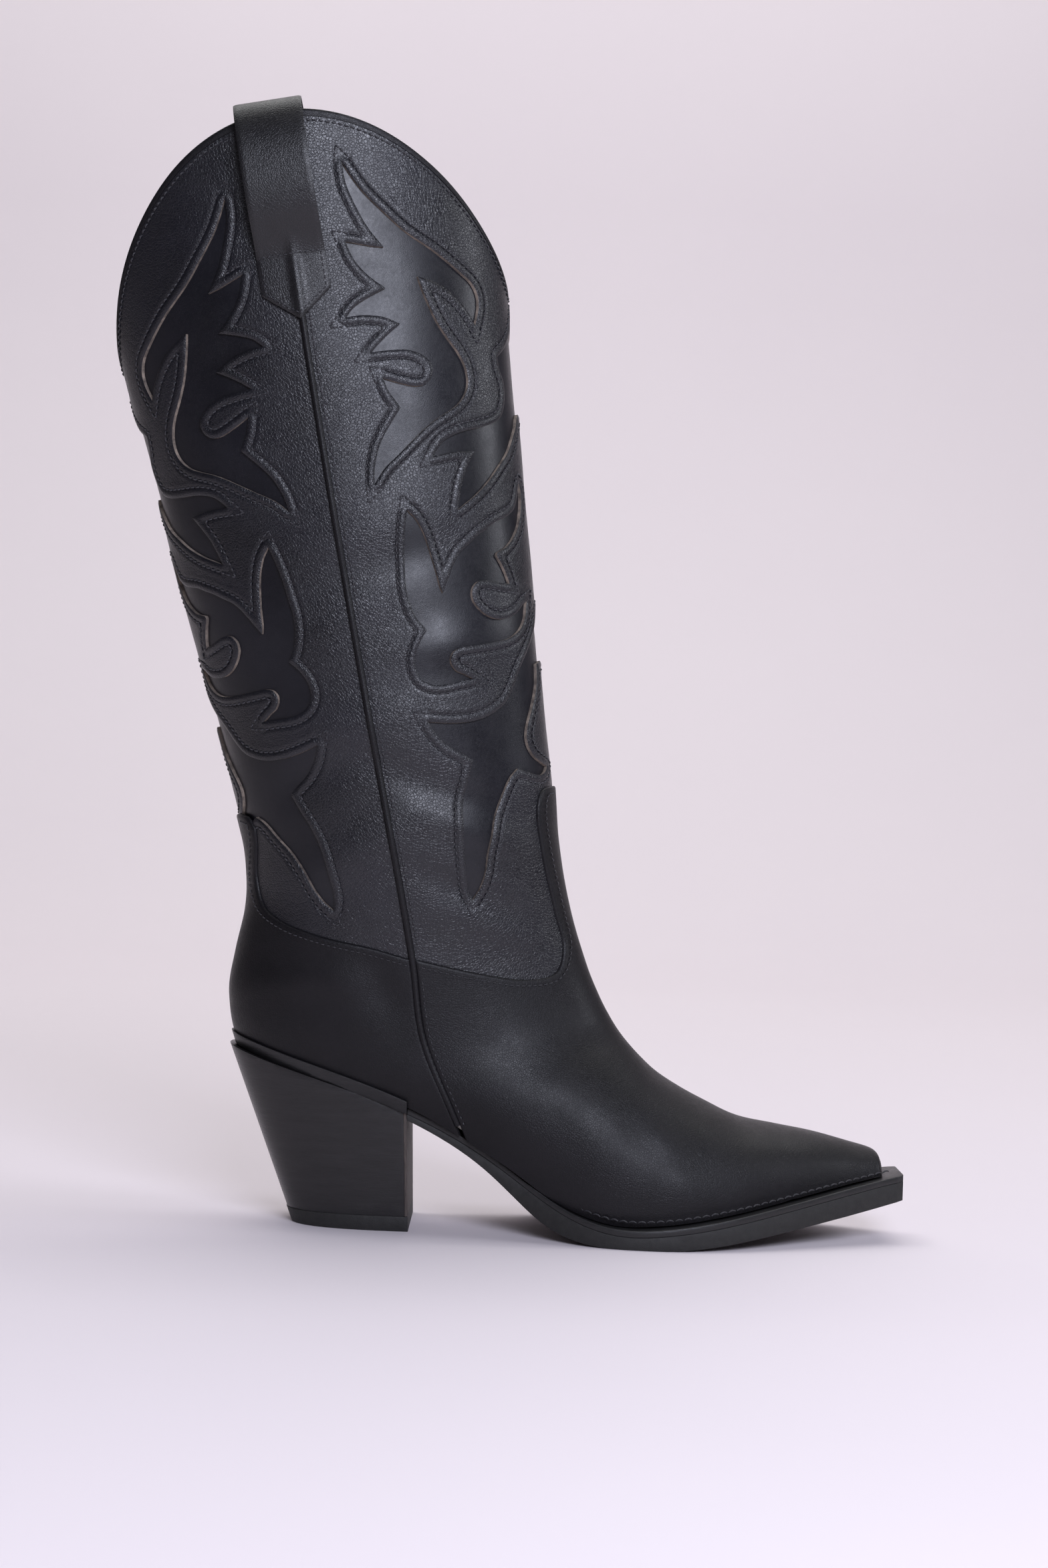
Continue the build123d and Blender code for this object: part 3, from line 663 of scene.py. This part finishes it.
class Thread:
    """Collects the stitches of one object."""

    def __init__(self):
        self.points = []
        self.faces = []
        self.count = 0

    def sew(self, line, normals, pitch=STITCH_PITCH, **shape):
        """Stitches along a line of points on the leather."""
        packed = resample(np.hstack([line, normals]), pitch)
        places = packed[:, :3]
        centres = (places[:-1] + places[1:]) / 2
        tangents = unit(places[1:] - places[:-1])
        up = packed[:-1, 3:] + packed[1:, 3:]
        up = unit(up - tangents * np.sum(up * tangents, axis=1)[:, None])
        points, faces = stitch_points(centres, tangents, up, **shape)
        self.points.append(points)
        self.faces += [tuple(i + self.count for i in f) for f in faces]
        self.count += len(points)

    def finish(self, name, slot, material):
        obj = make_object(name, np.vstack(self.points), self.faces, [material])
        return declare(obj, slot)


def surface_normals(places, turns, inset):
    """Points of the upper and the directions out of it there."""
    here = surface(places, turns, inset)
    out = here - surface(places, turns, inset + 2.0)
    step = surface(places, turns + 0.01, inset) - here
    rise = surface(places + 0.01, turns, inset) - here
    normal = np.cross(step, rise)
    normal *= np.sign(np.sum(normal * out, axis=1))[:, None]
    return here, unit(normal)


def pattern_lines(back):
    """The stitch lines round a panel's cut-outs, on one side, in the flat pattern."""
    lines = []
    outline = panel_outline(back, PIPING_HALF, -70.0)
    for runs in CUTS:
        ring = to_panel(closed_outline(runs), back)
        points = offset_points(ring, STITCH_INSET)
        points = closed(points)
        gaps = np.linalg.norm(np.diff(points, axis=0), axis=1)
        breaks = [0] + [k + 1 for k in np.flatnonzero(gaps > 9.0)]
        for a, b in zip(breaks, breaks[1:] + [len(points)]):
            if b - a > 3:
                lines.append(points[a:b])
    kept = []
    for line in lines:
        good = (line[:, 0] > 0.3) & inside(line, outline)
        starts = np.flatnonzero(good & ~np.concatenate([[False], good[:-1]]))
        ends = np.flatnonzero(good & ~np.concatenate([good[1:], [False]])) + 1
        kept += [line[a:b] for a, b in zip(starts, ends) if b - a > 4]
    return kept


def sew_panel(name, back, material):
    thread = Thread()
    for line in pattern_lines(back):
        for side in (-1, 1):
            places, turns = turns_at(line[:, 0], line[:, 1], back)
            points, normals = surface_normals(places, side * turns, 0.12)
            thread.sew(points, normals)
    return thread.finish(name, "grained_leather", material)


# ---- materials ----------------------------------------------------------------------------------
def new_material(name):
    material = bpy.data.materials.new(name)
    material.use_nodes = True
    nodes = material.node_tree.nodes
    nodes.clear()
    output = nodes.new("ShaderNodeOutputMaterial")
    shader = nodes.new("ShaderNodeBsdfPrincipled")
    material.node_tree.links.new(shader.outputs[0], output.inputs[0])
    return material, shader


class Graph:
    """Short names for the shader nodes that the materials use."""

    def __init__(self, material):
        self.tree = material.node_tree
        coords = self.tree.nodes.new("ShaderNodeTexCoord")
        self.coords = coords.outputs["Object"]

    def node(self, kind, **values):
        node = self.tree.nodes.new("ShaderNode" + kind)
        for key, value in values.items():
            if hasattr(node, key):
                setattr(node, key, value)
            else:
                node.inputs[key.replace("_", " ")].default_value = value
        return node

    def link(self, a, b):
        self.tree.links.new(a, b)

    def noise(self, scale, detail=4.0, rough=0.55, vector=None):
        node = self.node("TexNoise", Scale=scale, Detail=detail, Roughness=rough)
        self.link(vector or self.coords, node.inputs["Vector"])
        return node.outputs["Fac"]

    def cells(self, scale):
        node = self.node("TexVoronoi", feature="DISTANCE_TO_EDGE", Scale=scale)
        self.link(self.coords, node.inputs["Vector"])
        return node.outputs["Distance"]

    def stretched(self, scale):
        node = self.node("Mapping")
        node.inputs["Scale"].default_value = scale
        self.link(self.coords, node.inputs["Vector"])
        return node.outputs["Vector"]

    def spread(self, value, low, high, to_low, to_high):
        node = self.node("MapRange")
        for k, number in enumerate((low, high, to_low, to_high)):
            node.inputs[k + 1].default_value = number
        self.link(value, node.inputs[0])
        return node.outputs[0]

    def mix(self, share, low, high):
        node = self.tree.nodes.new("ShaderNodeMix")
        node.data_type = "RGBA"
        self.link(share, node.inputs[0])
        for socket, value in ((node.inputs[6], low), (node.inputs[7], high)):
            if isinstance(value, tuple):
                socket.default_value = value + (1.0,)
            else:
                self.link(value, socket)
        return node.outputs[2]

    def math(self, operation, a, b):
        node = self.tree.nodes.new("ShaderNodeMath")
        node.operation = operation
        for socket, value in zip(node.inputs, (a, b)):
            if isinstance(value, (int, float)):
                socket.default_value = value
            else:
                self.link(value, socket)
        return node.outputs[0]

    def bump(self, height, strength, reach, before=None):
        node = self.node("Bump", Strength=strength, Distance=reach)
        self.link(height, node.inputs["Height"])
        if before:
            self.link(before, node.inputs["Normal"])
        return node.outputs["Normal"]


def leather(name, dark, light, rough, grain, strength, coat=0.0, specular=0.5):
    """Finished leather: pebbled grain, fine pores, uneven dye and worn shine."""
    material, shader = new_material(name)
    g = Graph(material)
    patches = g.noise(28.0, 5.0)
    fine = g.noise(900.0, 3.0)
    g.link(g.mix(g.spread(patches, 0.3, 0.7, 0.0, 1.0), dark, light), shader.inputs["Base Color"])
    worn = g.math("ADD", g.spread(g.noise(75.0, 6.0, 0.62), 0.3, 0.7, -0.06, 0.07),
                  g.spread(fine, 0.3, 0.7, -0.04, 0.05))
    g.link(g.math("ADD", worn, rough), shader.inputs["Roughness"])
    pebbles = g.spread(g.cells(grain), 0.0, 0.16, 0.0, 1.0)
    larger = g.spread(g.cells(grain * 0.43), 0.0, 0.10, 0.0, 1.0)
    grainy = g.math("ADD", g.math("MULTIPLY", pebbles, 0.6), g.math("MULTIPLY", larger, 0.4))
    rumple = g.bump(g.noise(140.0, 3.0), 0.15, 0.0006)
    normal = g.bump(grainy, strength, 0.00011, rumple)
    normal = g.bump(fine, strength * 0.5, 0.00004, normal)
    g.link(normal, shader.inputs["Normal"])
    shader.inputs["Specular IOR Level"].default_value = specular
    shader.inputs["Coat Weight"].default_value = coat
    shader.inputs["Coat Roughness"].default_value = 0.22
    return material


def raw_edge(name, dark, light):
    """The cut edge of leather: layered fibres, uneven dye."""
    material, shader = new_material(name)
    g = Graph(material)
    streaks = g.noise(260.0, 6.0, 0.65)
    blotches = g.noise(60.0, 3.0)
    share = g.math("MULTIPLY", g.spread(streaks, 0.35, 0.62, 0.15, 1.0),
                   g.spread(blotches, 0.3, 0.65, 0.45, 1.0))
    g.link(g.mix(share, dark, light), shader.inputs["Base Color"])
    g.link(g.bump(g.noise(1400.0, 4.0), 0.6, 0.0002), shader.inputs["Normal"])
    shader.inputs["Roughness"].default_value = 0.82
    return material


def thread_material():
    material, shader = new_material("black_thread")
    g = Graph(material)
    twist = g.node("TexWave", Scale=900.0, Distortion=1.0)
    g.link(g.coords, twist.inputs["Vector"])
    g.link(g.mix(twist.outputs["Fac"], (0.012, 0.012, 0.014), (0.06, 0.058, 0.066)),
           shader.inputs["Base Color"])
    g.link(g.bump(twist.outputs["Fac"], 0.5, 0.0002), shader.inputs["Normal"])
    shader.inputs["Roughness"].default_value = 0.42
    return material


def fibre_material(name, dark, light, scale, rough, strength=0.5, stretch=(1, 1, 1)):
    """Cloth, cork, wood, rubber and board: a stretched noise in colour, gloss and relief."""
    material, shader = new_material(name)
    g = Graph(material)
    vector = g.stretched(stretch)
    coarse = g.noise(scale, 6.0, 0.6, vector)
    fine = g.noise(scale * 6, 4.0, 0.6, vector)
    share = g.math("ADD", g.math("MULTIPLY", coarse, 0.65), g.math("MULTIPLY", fine, 0.35))
    g.link(g.mix(g.spread(share, 0.35, 0.65, 0.0, 1.0), dark, light), shader.inputs["Base Color"])
    g.link(g.spread(fine, 0.3, 0.7, rough - 0.06, rough + 0.06), shader.inputs["Roughness"])
    normal = g.bump(coarse, strength, 0.0004)
    g.link(g.bump(fine, strength, 0.00015, normal), shader.inputs["Normal"])
    return material


def metal_material():
    material, shader = new_material("shank_steel")
    g = Graph(material)
    marks = g.noise(300.0, 6.0, 0.7, g.stretched((1.0, 12.0, 1.0)))
    g.link(g.mix(marks, (0.32, 0.33, 0.35), (0.55, 0.55, 0.56)), shader.inputs["Base Color"])
    g.link(g.spread(marks, 0.3, 0.7, 0.25, 0.45), shader.inputs["Roughness"])
    shader.inputs["Metallic"].default_value = 1.0
    return material


GRAINED = leather("grained_black_leather", (0.0034, 0.0034, 0.0056), (0.0076, 0.0076, 0.0122), 0.36,
                  900.0, 0.8, coat=0.05, specular=0.55)
SMOOTH = leather("smooth_black_leather", (0.0042, 0.0038, 0.0048), (0.0085, 0.0076, 0.0095), 0.43,
                 1200.0, 0.5, coat=0.03, specular=0.26)
GLOSSY = leather("glossy_black_leather", (0.004, 0.004, 0.0065), (0.008, 0.008, 0.012), 0.36,
                 1500.0, 0.16, coat=0.1, specular=0.38)
STRAP_SKIN = leather("strap_black_leather", (0.0042, 0.0039, 0.005), (0.009, 0.0083, 0.0105), 0.38,
                     1100.0, 0.55, coat=0.04, specular=0.5)
EDGE = raw_edge("raw_leather_edge", (0.035, 0.029, 0.027), (0.30, 0.245, 0.20))
DARK_EDGE = raw_edge("dyed_leather_edge", (0.006, 0.0055, 0.006), (0.02, 0.018, 0.018))
LINING_SKIN = leather("lining_leather", (0.36, 0.27, 0.19), (0.44, 0.34, 0.25), 0.62, 1600.0, 0.2)
THREAD = thread_material()
SOLE_EDGE = fibre_material("sole_black", (0.006, 0.006, 0.0065), (0.014, 0.0135, 0.0145), 120.0,
                           0.42, 0.35, (1, 1, 5))
HEEL_BLACK = fibre_material("stacked_heel_black", (0.0065, 0.006, 0.0065), (0.013, 0.012, 0.013),
                            60.0, 0.36, 0.4, (1, 1, 7))
BREAST_WOOD = fibre_material("heel_breast_wood", (0.035, 0.028, 0.026), (0.10, 0.08, 0.07), 160.0,
                             0.6, 0.7, (6, 6, 0.5))
RUBBER = fibre_material("rubber_black", (0.008, 0.008, 0.008), (0.017, 0.0165, 0.016), 400.0, 0.62)
CORK = fibre_material("cork", (0.19, 0.10, 0.045), (0.42, 0.26, 0.13), 300.0, 0.85, 0.8)
CLOTH = fibre_material("backing_cloth", (0.42, 0.40, 0.36), (0.62, 0.60, 0.55), 900.0, 0.9, 0.7)
BOARD = fibre_material("insole_board", (0.33, 0.24, 0.15), (0.47, 0.36, 0.25), 500.0, 0.8, 0.5)
STIFF = fibre_material("stiffener_board", (0.50, 0.46, 0.38), (0.66, 0.61, 0.52), 500.0, 0.8, 0.5)
STEEL = metal_material()


# ---- shaft --------------------------------------------------------------------------------------
for back in (False, True):
    word = "back" if back else "front"
    holes = [to_panel(closed_outline(runs), back) for runs in CUTS]
    make_panel(word + "_overlay", back, "grained_leather", [GRAINED, EDGE],
               0.0, OVERLAY + 0.12, 3.0, holes, PIPING_HALF, rings=RIM_RINGS)
    make_panel(word + "_underlay", back, "underlay_leather", [GLOSSY],
               OVERLAY + 0.03, OVERLAY + UNDERLAY, 4.0)
    make_panel(word + "_lining", back, "lining_leather", [LINING_SKIN],
               OVERLAY + UNDERLAY + 0.02, OVERLAY + UNDERLAY + LINING, 4.0)
    sew_panel(word + "_overlay_stitches", back, THREAD)


# ---- vamp and counter ---------------------------------------------------------------------------
def side_polygon(curve, corners):
    return np.vstack([smooth_line(curve), corners])


VAMP_ZONE = side_polygon(VAMP_EDGE, [(-60, -400), (400, -400), (400, 178)])
COUNTER_ZONE = side_polygon(COUNTER_EDGE, [(-400, 162.3), (-400, -400), (60, -400), (60, 60)])
EDGE_LEVELS = (0.3, 0.75, 1.4)
EDGE_DROP = 0.75
UNDER_PIPING = 0.25
UNDER_WELT = 2.0
SHELL_UNDER = 0.25


def edge_distance(points, zone):
    """How far inside a side-view zone each point is."""
    flat = points[:, [0, 2]]
    gap = distance(flat, closed(zone))
    return np.where(inside(flat, zone), gap, -gap)


def make_shell(name, zone, seam_side, places, turns):
    """Vamp or counter: a shaped sheet with a rounded edge, trimmed by the side-view curves."""
    place_grid, turn_grid = np.meshgrid(places, turns, indexing="ij")
    place_grid = place_grid.ravel()
    turn_grid = turn_grid.ravel()
    faces = []
    for a, b, c, d in grid_faces(len(places), len(turns)):
        faces += [(a, d, c), (a, c, b)]
    flat = surface(place_grid, turn_grid, 0.0, soft=False)
    edge = edge_distance(flat, zone)
    seam = seam_side * (flat[:, 0] - seam_x(flat[:, 2])) - PIPING_HALF + UNDER_PIPING
    low = flat[:, 2] - feather_z(flat[:, 0]) + UNDER_WELT
    data = np.stack([place_grid, turn_grid, low, seam, edge], 1)
    for column in (2, 3, 4):
        data, faces = split(data, faces, column, 0.0, True)
    for column in (3, 4):
        for level in EDGE_LEVELS:
            data, faces = split(data, faces, column, level, False)
    near = np.clip(np.minimum(data[:, 3], data[:, 4]) / EDGE_LEVELS[-1], 0, 1)
    rounding = 1 - np.sqrt(1 - (1 - near) ** 2)
    upper = surface(data[:, 0], data[:, 1], rounding * EDGE_DROP - SHELL_LIFT)
    lower = surface(data[:, 0], data[:, 1], SHELL_UNDER)
    points, faces, _ = close_sheet(upper, lower, faces)
    obj = make_object(name, points, faces, [SMOOTH], sharp=math.radians(60))
    return declare(obj, "smooth_leather", name)


toe_places = np.concatenate([np.linspace(-0.9, 0, 8, endpoint=False),
                             np.linspace(0, 3, 40, endpoint=False), np.linspace(3, 20, 200)])
make_shell("vamp", VAMP_ZONE, 1, toe_places, np.linspace(-3.1, 3.1, 190))
make_shell("counter", COUNTER_ZONE, -1, np.linspace(9, 20, 190),
           np.linspace(0.6, 2 * math.pi - 0.6, 190))

# ---- the shell to sew on and lay straps on ------------------------------------------------------
grid_places = np.linspace(0, LAST, 260)
grid_turns = np.linspace(-math.pi, math.pi, 181)
all_places, all_turns = np.meshgrid(grid_places, grid_turns, indexing="ij")
shell_points = surface(all_places.ravel(), all_turns.ravel(), 0.0)
SHELL = BVHTree.FromPolygons([Vector(p) for p in shell_points],
                             grid_faces(len(grid_places), len(grid_turns)))


def on_shell(x, z, side):
    """Where a line along Y meets the upper from one side, and the normal there."""
    spot, normal, _, _ = SHELL.ray_cast(Vector((x, side * 200, z)), Vector((0, -side, 0)))
    if spot is None:
        return None
    normal = normal if normal.y * side > 0 else -normal
    return np.array(spot), np.array(normal)


def lay_on_shell(line, side, lift=0.0):
    """A side-view line laid on one side of the upper: its points and the normals there."""
    points = []
    normals = []
    for x, z in line:
        hit = on_shell(x, z, side)
        if hit is not None:
            points.append(hit[0] + hit[1] * lift)
            normals.append(hit[1])
    return np.array(points), np.array(normals)


def inward_line(zone_line, reach):
    """A side-view curve moved sideways; a positive reach moves it to the curve's left."""
    run = unit(np.gradient(zone_line, axis=0))
    return zone_line + np.stack([-run[:, 1], run[:, 0]], 1) * reach


edge_thread = Thread()
for side in (-1, 1):
    for curve, zone, seam_side in ((VAMP_EDGE, VAMP_ZONE, 1), (COUNTER_EDGE, COUNTER_ZONE, -1)):
        row = inward_line(smooth_line(curve), EDGE_STITCH_INSET)
        off_seam = seam_side * (row[:, 0] - seam_x(row[:, 1])) > PIPING_HALF + 0.6
        on_piece = edge_distance(np.insert(row, 1, 0, axis=1), zone) > EDGE_STITCH_INSET - 0.2
        edge_thread.sew(*lay_on_shell(row[off_seam & on_piece], side, SHELL_LIFT), pitch=2.4,
                        **FINE_STITCH)
edge_thread.finish("vamp_and_counter_stitches", "smooth_leather", THREAD)


# ---- piping -------------------------------------------------------------------------------------
def sweep(points, normals, profile, name, slot, material, node):
    """A closed profile of (across, out) swept along a line on the leather."""
    tangents = unit(np.gradient(points, axis=0))
    across = unit(np.cross(normals, tangents))
    rings = [points + across * a + normals * h for a, h in profile]
    verts = np.stack(rings, 1).reshape(-1, 3)
    size = len(profile)
    faces = grid_faces(len(points), size, ring=True)
    faces.append(tuple(range(size)))
    faces.append(tuple(range((len(points) - 1) * size, len(points) * size))[::-1])
    return declare(make_object(name, verts, faces, [material]), slot, node)


PIPING_PROFILE = [(-1.2, -1.2), (-1.35, 0.1), (-1.3, 0.75), (-1.0, 1.35), (-0.5, 1.7), (0.0, 1.8),
                  (0.5, 1.7), (1.0, 1.35), (1.3, 0.75), (1.35, 0.1), (1.2, -1.2)]

rim_turns = np.linspace(0.02, math.pi - 0.02, 200)
rim_points = surface(collar_place(rim_turns), -rim_turns, 0.0, soft=False)[::-1]
seam_row = SEAM_LINE[(SEAM_LINE[:, 1] > feather_z(SEAM_LINE[:, 0]) - 2)]
seam_row = smooth_line(seam_row[::4], 2.0)
rim_height = np.interp(seam_row[:, 0], rim_points[:, 0], rim_points[:, 2])
seam_row = seam_row[seam_row[:, 1] < rim_height - 3.0]
seam_thread = Thread()
for side, word in ((-1, "outer"), (1, "inner")):
    points, normals = lay_on_shell(seam_row, side)
    sweep(points, normals, PIPING_PROFILE, word + "_side_piping", "smooth_leather", SMOOTH,
          word + "_side_seam_piping")
    beside = seam_row + (2.9, 0)
    on_shaft = beside[beside[:, 1] > 112]
    seam_thread.sew(*lay_on_shell(on_shaft, side), pitch=SEAM_STITCH_PITCH)
    on_vamp = beside[beside[:, 1] < 102]
    seam_thread.sew(*lay_on_shell(on_vamp, side, SHELL_LIFT), pitch=SEAM_STITCH_PITCH, **FINE_STITCH)
seam_thread.finish("side_seam_stitches", "smooth_leather", THREAD)


# ---- collar -------------------------------------------------------------------------------------
BINDING_PROFILE = [(0.0, -2.2), (-0.32, -2.1), (-0.42, -1.2), (-0.42, -0.2), (-0.28, 0.35),
                   (0.15, 0.7), (1.7, 0.8), (3.25, 0.7), (3.7, 0.35), (3.85, -0.2), (3.85, -2.0),
                   (3.6, -2.3), (2.0, -2.0)]


def make_binding():
    """The folded strip over the collar's edge."""
    count = 288
    turns = np.linspace(-math.pi, math.pi, count, endpoint=False)
    rings = []
    for inset, rise in BINDING_PROFILE:
        rings.append(surface(collar_place(turns) + rise / SHAFT_STEP, turns, inset))
    verts = np.stack(rings, 1).reshape(-1, 3)
    faces = grid_faces(count, len(BINDING_PROFILE), ring=True, loop=True)
    return declare(make_object("collar_edge_binding", verts, faces, [SMOOTH]), "smooth_leather",
                   "collar_binding")


make_binding()
collar_thread = Thread()
loop = np.linspace(-math.pi, math.pi, 600)
loop_points, loop_normals = surface_normals(collar_place(loop) - 3.6 / SHAFT_STEP, loop, 0.0)
collar_thread.sew(loop_points, loop_normals)
collar_thread.finish("collar_stitches", "grained_leather", THREAD)


# ---- pull straps --------------------------------------------------------------------------------
# The stretch of the strap that is off the leather, up over the collar and down inside, as
# (distance out from the boot's middle plane, height over the strap's pointed end).
STRAP_FREE = [(49.0, 31), (54.2, 42), (56.4, 55), (55.4, 69), (51.4, 79.5), (46.0, 84.4),
              (42.0, 81.5), (40.6, 72), (40.9, 60)]
STRAP_THICK = 1.9
STRAP_POINT = 10.6
PATCH_TOP = 25.0
REST_STEPS = (0.0, 0.03, 0.08, 0.2, 0.35, 0.5, 0.65, 0.8, 0.9, 1.0)


def strap_place(side, across, out, height):
    """A point from its distance off the strap's middle line, off the middle plane and over the tip."""
    x = STRAP_TIP[0] - math.sin(STRAP_LEAN) * height + math.cos(STRAP_LEAN) * across
    z = STRAP_TIP[1] + math.cos(STRAP_LEAN) * height + math.sin(STRAP_LEAN) * across
    return np.array([x, side * out, z])


def strap_rest(side, across, height, lift):
    """A point of the strap where it lies on the shaft, over the piping."""
    place = strap_place(side, across, 0, height)
    spot, normal = on_shell(place[0], place[2], side)
    ridge = PIPING_HALF * math.exp(-((place[0] - seam_x(place[2])) / 1.9) ** 2)
    return spot + normal * (lift + ridge)


def strap_column(side, across, free, off):
    """The strap's top and under side along one line, from its pointed end to its inner end."""
    start = STRAP_POINT * abs(across) / STRAP_HALF
    edge = max(0.0, 1 - (STRAP_HALF - abs(across)))
    round_off = 0.35 * edge ** 2
    top = []
    under = []
    for fraction in REST_STEPS:
        height = start + (PATCH_TOP - start) * fraction
        tip_round = 0.3 if fraction == 0 else 0.0
        top.append(strap_rest(side, across, height, STRAP_THICK - round_off - tip_round))
        under.append(strap_rest(side, across, height, -0.1))
    for spot, away in zip(free, off):
        reach = away * (STRAP_THICK / 2 - round_off)
        top.append(strap_place(side, across, *(spot + reach)))
        under.append(strap_place(side, across, *(spot - reach)))
    return top, under


def make_strap(word, side):
    free = smooth_line(STRAP_FREE, 2.0)
    run = unit(np.gradient(free, axis=0))
    off = np.stack([run[:, 1], -run[:, 0]], 1)
    columns = [strap_column(side, across, free, off)
               for across in np.linspace(-STRAP_HALF, STRAP_HALF, 27)]
    top, under = np.array(columns).transpose(1, 0, 2, 3)
    points, faces, walls = close_sheet(top.reshape(-1, 3), under.reshape(-1, 3),
                                       grid_faces(top.shape[0], top.shape[1]))
    obj = make_object(word + "_strap", points, faces, [STRAP_SKIN, DARK_EDGE], walls)
    return declare(obj, "smooth_leather", word + "_pull_strap")


strap_thread = Thread()
for side, word in ((-1, "outer"), (1, "inner")):
    make_strap(word, side)
    margin = 1.7
    half = STRAP_HALF - margin
    corner = STRAP_POINT + margin * 0.2
    corners = [(-half, PATCH_TOP), (-half, corner), (0, margin * 1.25), (half, corner),
               (half, PATCH_TOP), (-half, PATCH_TOP)]
    for (a0, h0), (a1, h1) in zip(corners, corners[1:]):
        steps = np.linspace(0, 1, 20)
        row = [strap_rest(side, a0 + (a1 - a0) * s, h0 + (h1 - h0) * s, STRAP_THICK) for s in steps]
        normals = [on_shell(p[0], p[2], side)[1] for p in row]
        strap_thread.sew(np.array(row), np.array(normals), pitch=2.2, length=1.5, width=0.5)
strap_thread.finish("pull_strap_stitches", "smooth_leather", THREAD)


# ---- bottom -------------------------------------------------------------------------------------
def dress(node, material, bevel=0.0):
    """A CAD node keeps its shape and gets its finish and softened edges."""
    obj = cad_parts[node]
    obj.data.materials.clear()
    obj.data.materials.append(material)
    if bevel:
        weld = obj.modifiers.new("weld", "WELD")
        weld.merge_threshold = 1e-6
        soft = obj.modifiers.new("soft_edges", "BEVEL")
        soft.width = bevel / 1000
        soft.segments = 2
        soft.limit_method = "ANGLE"
        soft.angle_limit = math.radians(42)


# CAD node, material, width of its softened edges
FINISHES = [
    ("welt", SOLE_EDGE, 0.5), ("midsole", SOLE_EDGE, 0.35), ("outsole", RUBBER, 0.6),
    ("heel_rand", SOLE_EDGE, 0.6), ("heel_block", HEEL_BLACK, 0.4),
    ("heel_breast_facing", BREAST_WOOD, 0.2), ("top_lift", RUBBER, 0.4),
    ("foot_lining", LINING_SKIN, 0), ("sock_liner", LINING_SKIN, 0), ("toe_puff", STIFF, 0),
    ("heel_stiffener", STIFF, 0), ("vamp_backing", CLOTH, 0), ("insole_board", BOARD, 0),
    ("heel_seat_lift", BOARD, 0), ("forefoot_filler", CORK, 0), ("steel_shank", STEEL, 0),
    ("shank_rivets", STEEL, 0), ("heel_screws", STEEL, 0), ("top_lift_nails", STEEL, 0),
]
for node, material, bevel in FINISHES:
    dress(node, material, bevel)

WELT_STITCH_INSET = 3.1
welt_thread = Thread()
for line in (SOLE_OUTER, SOLE_INNER):
    x, y = inward_line(smooth_line(line, 2.0), WELT_STITCH_INSET).T
    shown = (x > -30) & (x < 153)
    x, y = x[shown], y[shown]
    step = np.gradient(x)
    slope = np.gradient(feather_z(x)) / np.where(np.abs(step) < 1e-6, 1e-6, step)
    points = np.column_stack([x, y, feather_z(x)])
    normals = unit(np.column_stack([-slope, np.zeros(len(slope)), np.ones(len(slope))]))
    welt_thread.sew(points, normals, pitch=3.6, length=3.0, width=0.8)
welt_thread.finish("welt_stitches", "welt_leather", THREAD)


# ---- studio -------------------------------------------------------------------------------------
def make_backdrop():
    """A pale sweep: floor, curve and wall in one."""
    profile = [(-6.0, 0.0), (1.3, 0.0)]
    for k in range(1, 13):
        turn = math.pi / 2 * k / 12
        profile.append((1.3 + 0.9 * math.sin(turn), 0.9 - 0.9 * math.cos(turn)))
    profile.append((2.2, 5.0))
    verts = [(x, y, z) for y, z in profile for x in (-6.0, 6.0)]
    faces = [(2 * k, 2 * k + 1, 2 * k + 3, 2 * k + 2) for k in range(len(profile) - 1)]
    mesh = bpy.data.meshes.new("backdrop")
    mesh.from_pydata(verts, [], faces)
    for polygon in mesh.polygons:
        polygon.use_smooth = True
    material, shader = new_material("backdrop_paper")
    g = Graph(material)
    g.link(g.mix(g.noise(2.5, 3.0), (0.80, 0.735, 0.775), (0.83, 0.765, 0.80)),
           shader.inputs["Base Color"])
    shader.inputs["Roughness"].default_value = 0.7
    mesh.materials.append(material)
    obj = bpy.data.objects.new("backdrop", mesh)
    bpy.context.scene.collection.objects.link(obj)


def area_light(name, place, target, size, power, colour=(1, 1, 1)):
    """A soft box of light, in watts, that looks from its place to its target, in metres."""
    data = bpy.data.lights.new(name, "AREA")
    data.shape = "RECTANGLE"
    data.size, data.size_y = size
    data.energy = power
    data.color = colour
    obj = bpy.data.objects.new(name, data)
    obj.location = place
    direction = Vector(target) - Vector(place)
    obj.rotation_euler = direction.to_track_quat("-Z", "Y").to_euler()
    bpy.context.scene.collection.objects.link(obj)


make_backdrop()
area_light("key_light", (0.30, -1.15, 0.70), (-0.06, 0.0, 0.33), (0.6, 0.42), 12.5,
           (0.82, 0.85, 1.0))
area_light("right_light", (1.3, -0.2, 0.8), (0.0, 0.0, 0.3), (0.4, 0.5), 5, (0.9, 0.92, 1.0))
area_light("top_light", (0.0, 0.9, 2.6), (0.0, 0.7, 0.0), (3.0, 2.2), 30)
area_light("wall_light", (0.0, 0.5, 2.4), (0.0, 2.2, 0.7), (3.0, 0.6), 26)
world = bpy.data.worlds.new("studio")
world.use_nodes = True
background = world.node_tree.nodes["Background"]
background.inputs["Color"].default_value = (0.95, 0.93, 0.97, 1)
background.inputs["Strength"].default_value = 0.07
bpy.context.scene.world = world

CAMERA_PLACE = (DRAWING_X / 1000, -1.05003, 0.17826)
CAMERA_LENS = 59.68
CAMERA_ROLL = math.radians(2.0)
camera_data = bpy.data.cameras.new("camera")
camera_data.lens = CAMERA_LENS
camera_data.sensor_width = 36.0
camera = bpy.data.objects.new("camera", camera_data)
bpy.context.scene.collection.objects.link(camera)
camera.matrix_world = (Matrix.Translation(CAMERA_PLACE)
                       @ Matrix.Rotation(math.pi / 2, 4, "X") @ Matrix.Rotation(CAMERA_ROLL, 4, "Z"))
bpy.context.scene.camera = camera
bpy.context.scene.view_settings.view_transform = "Standard"
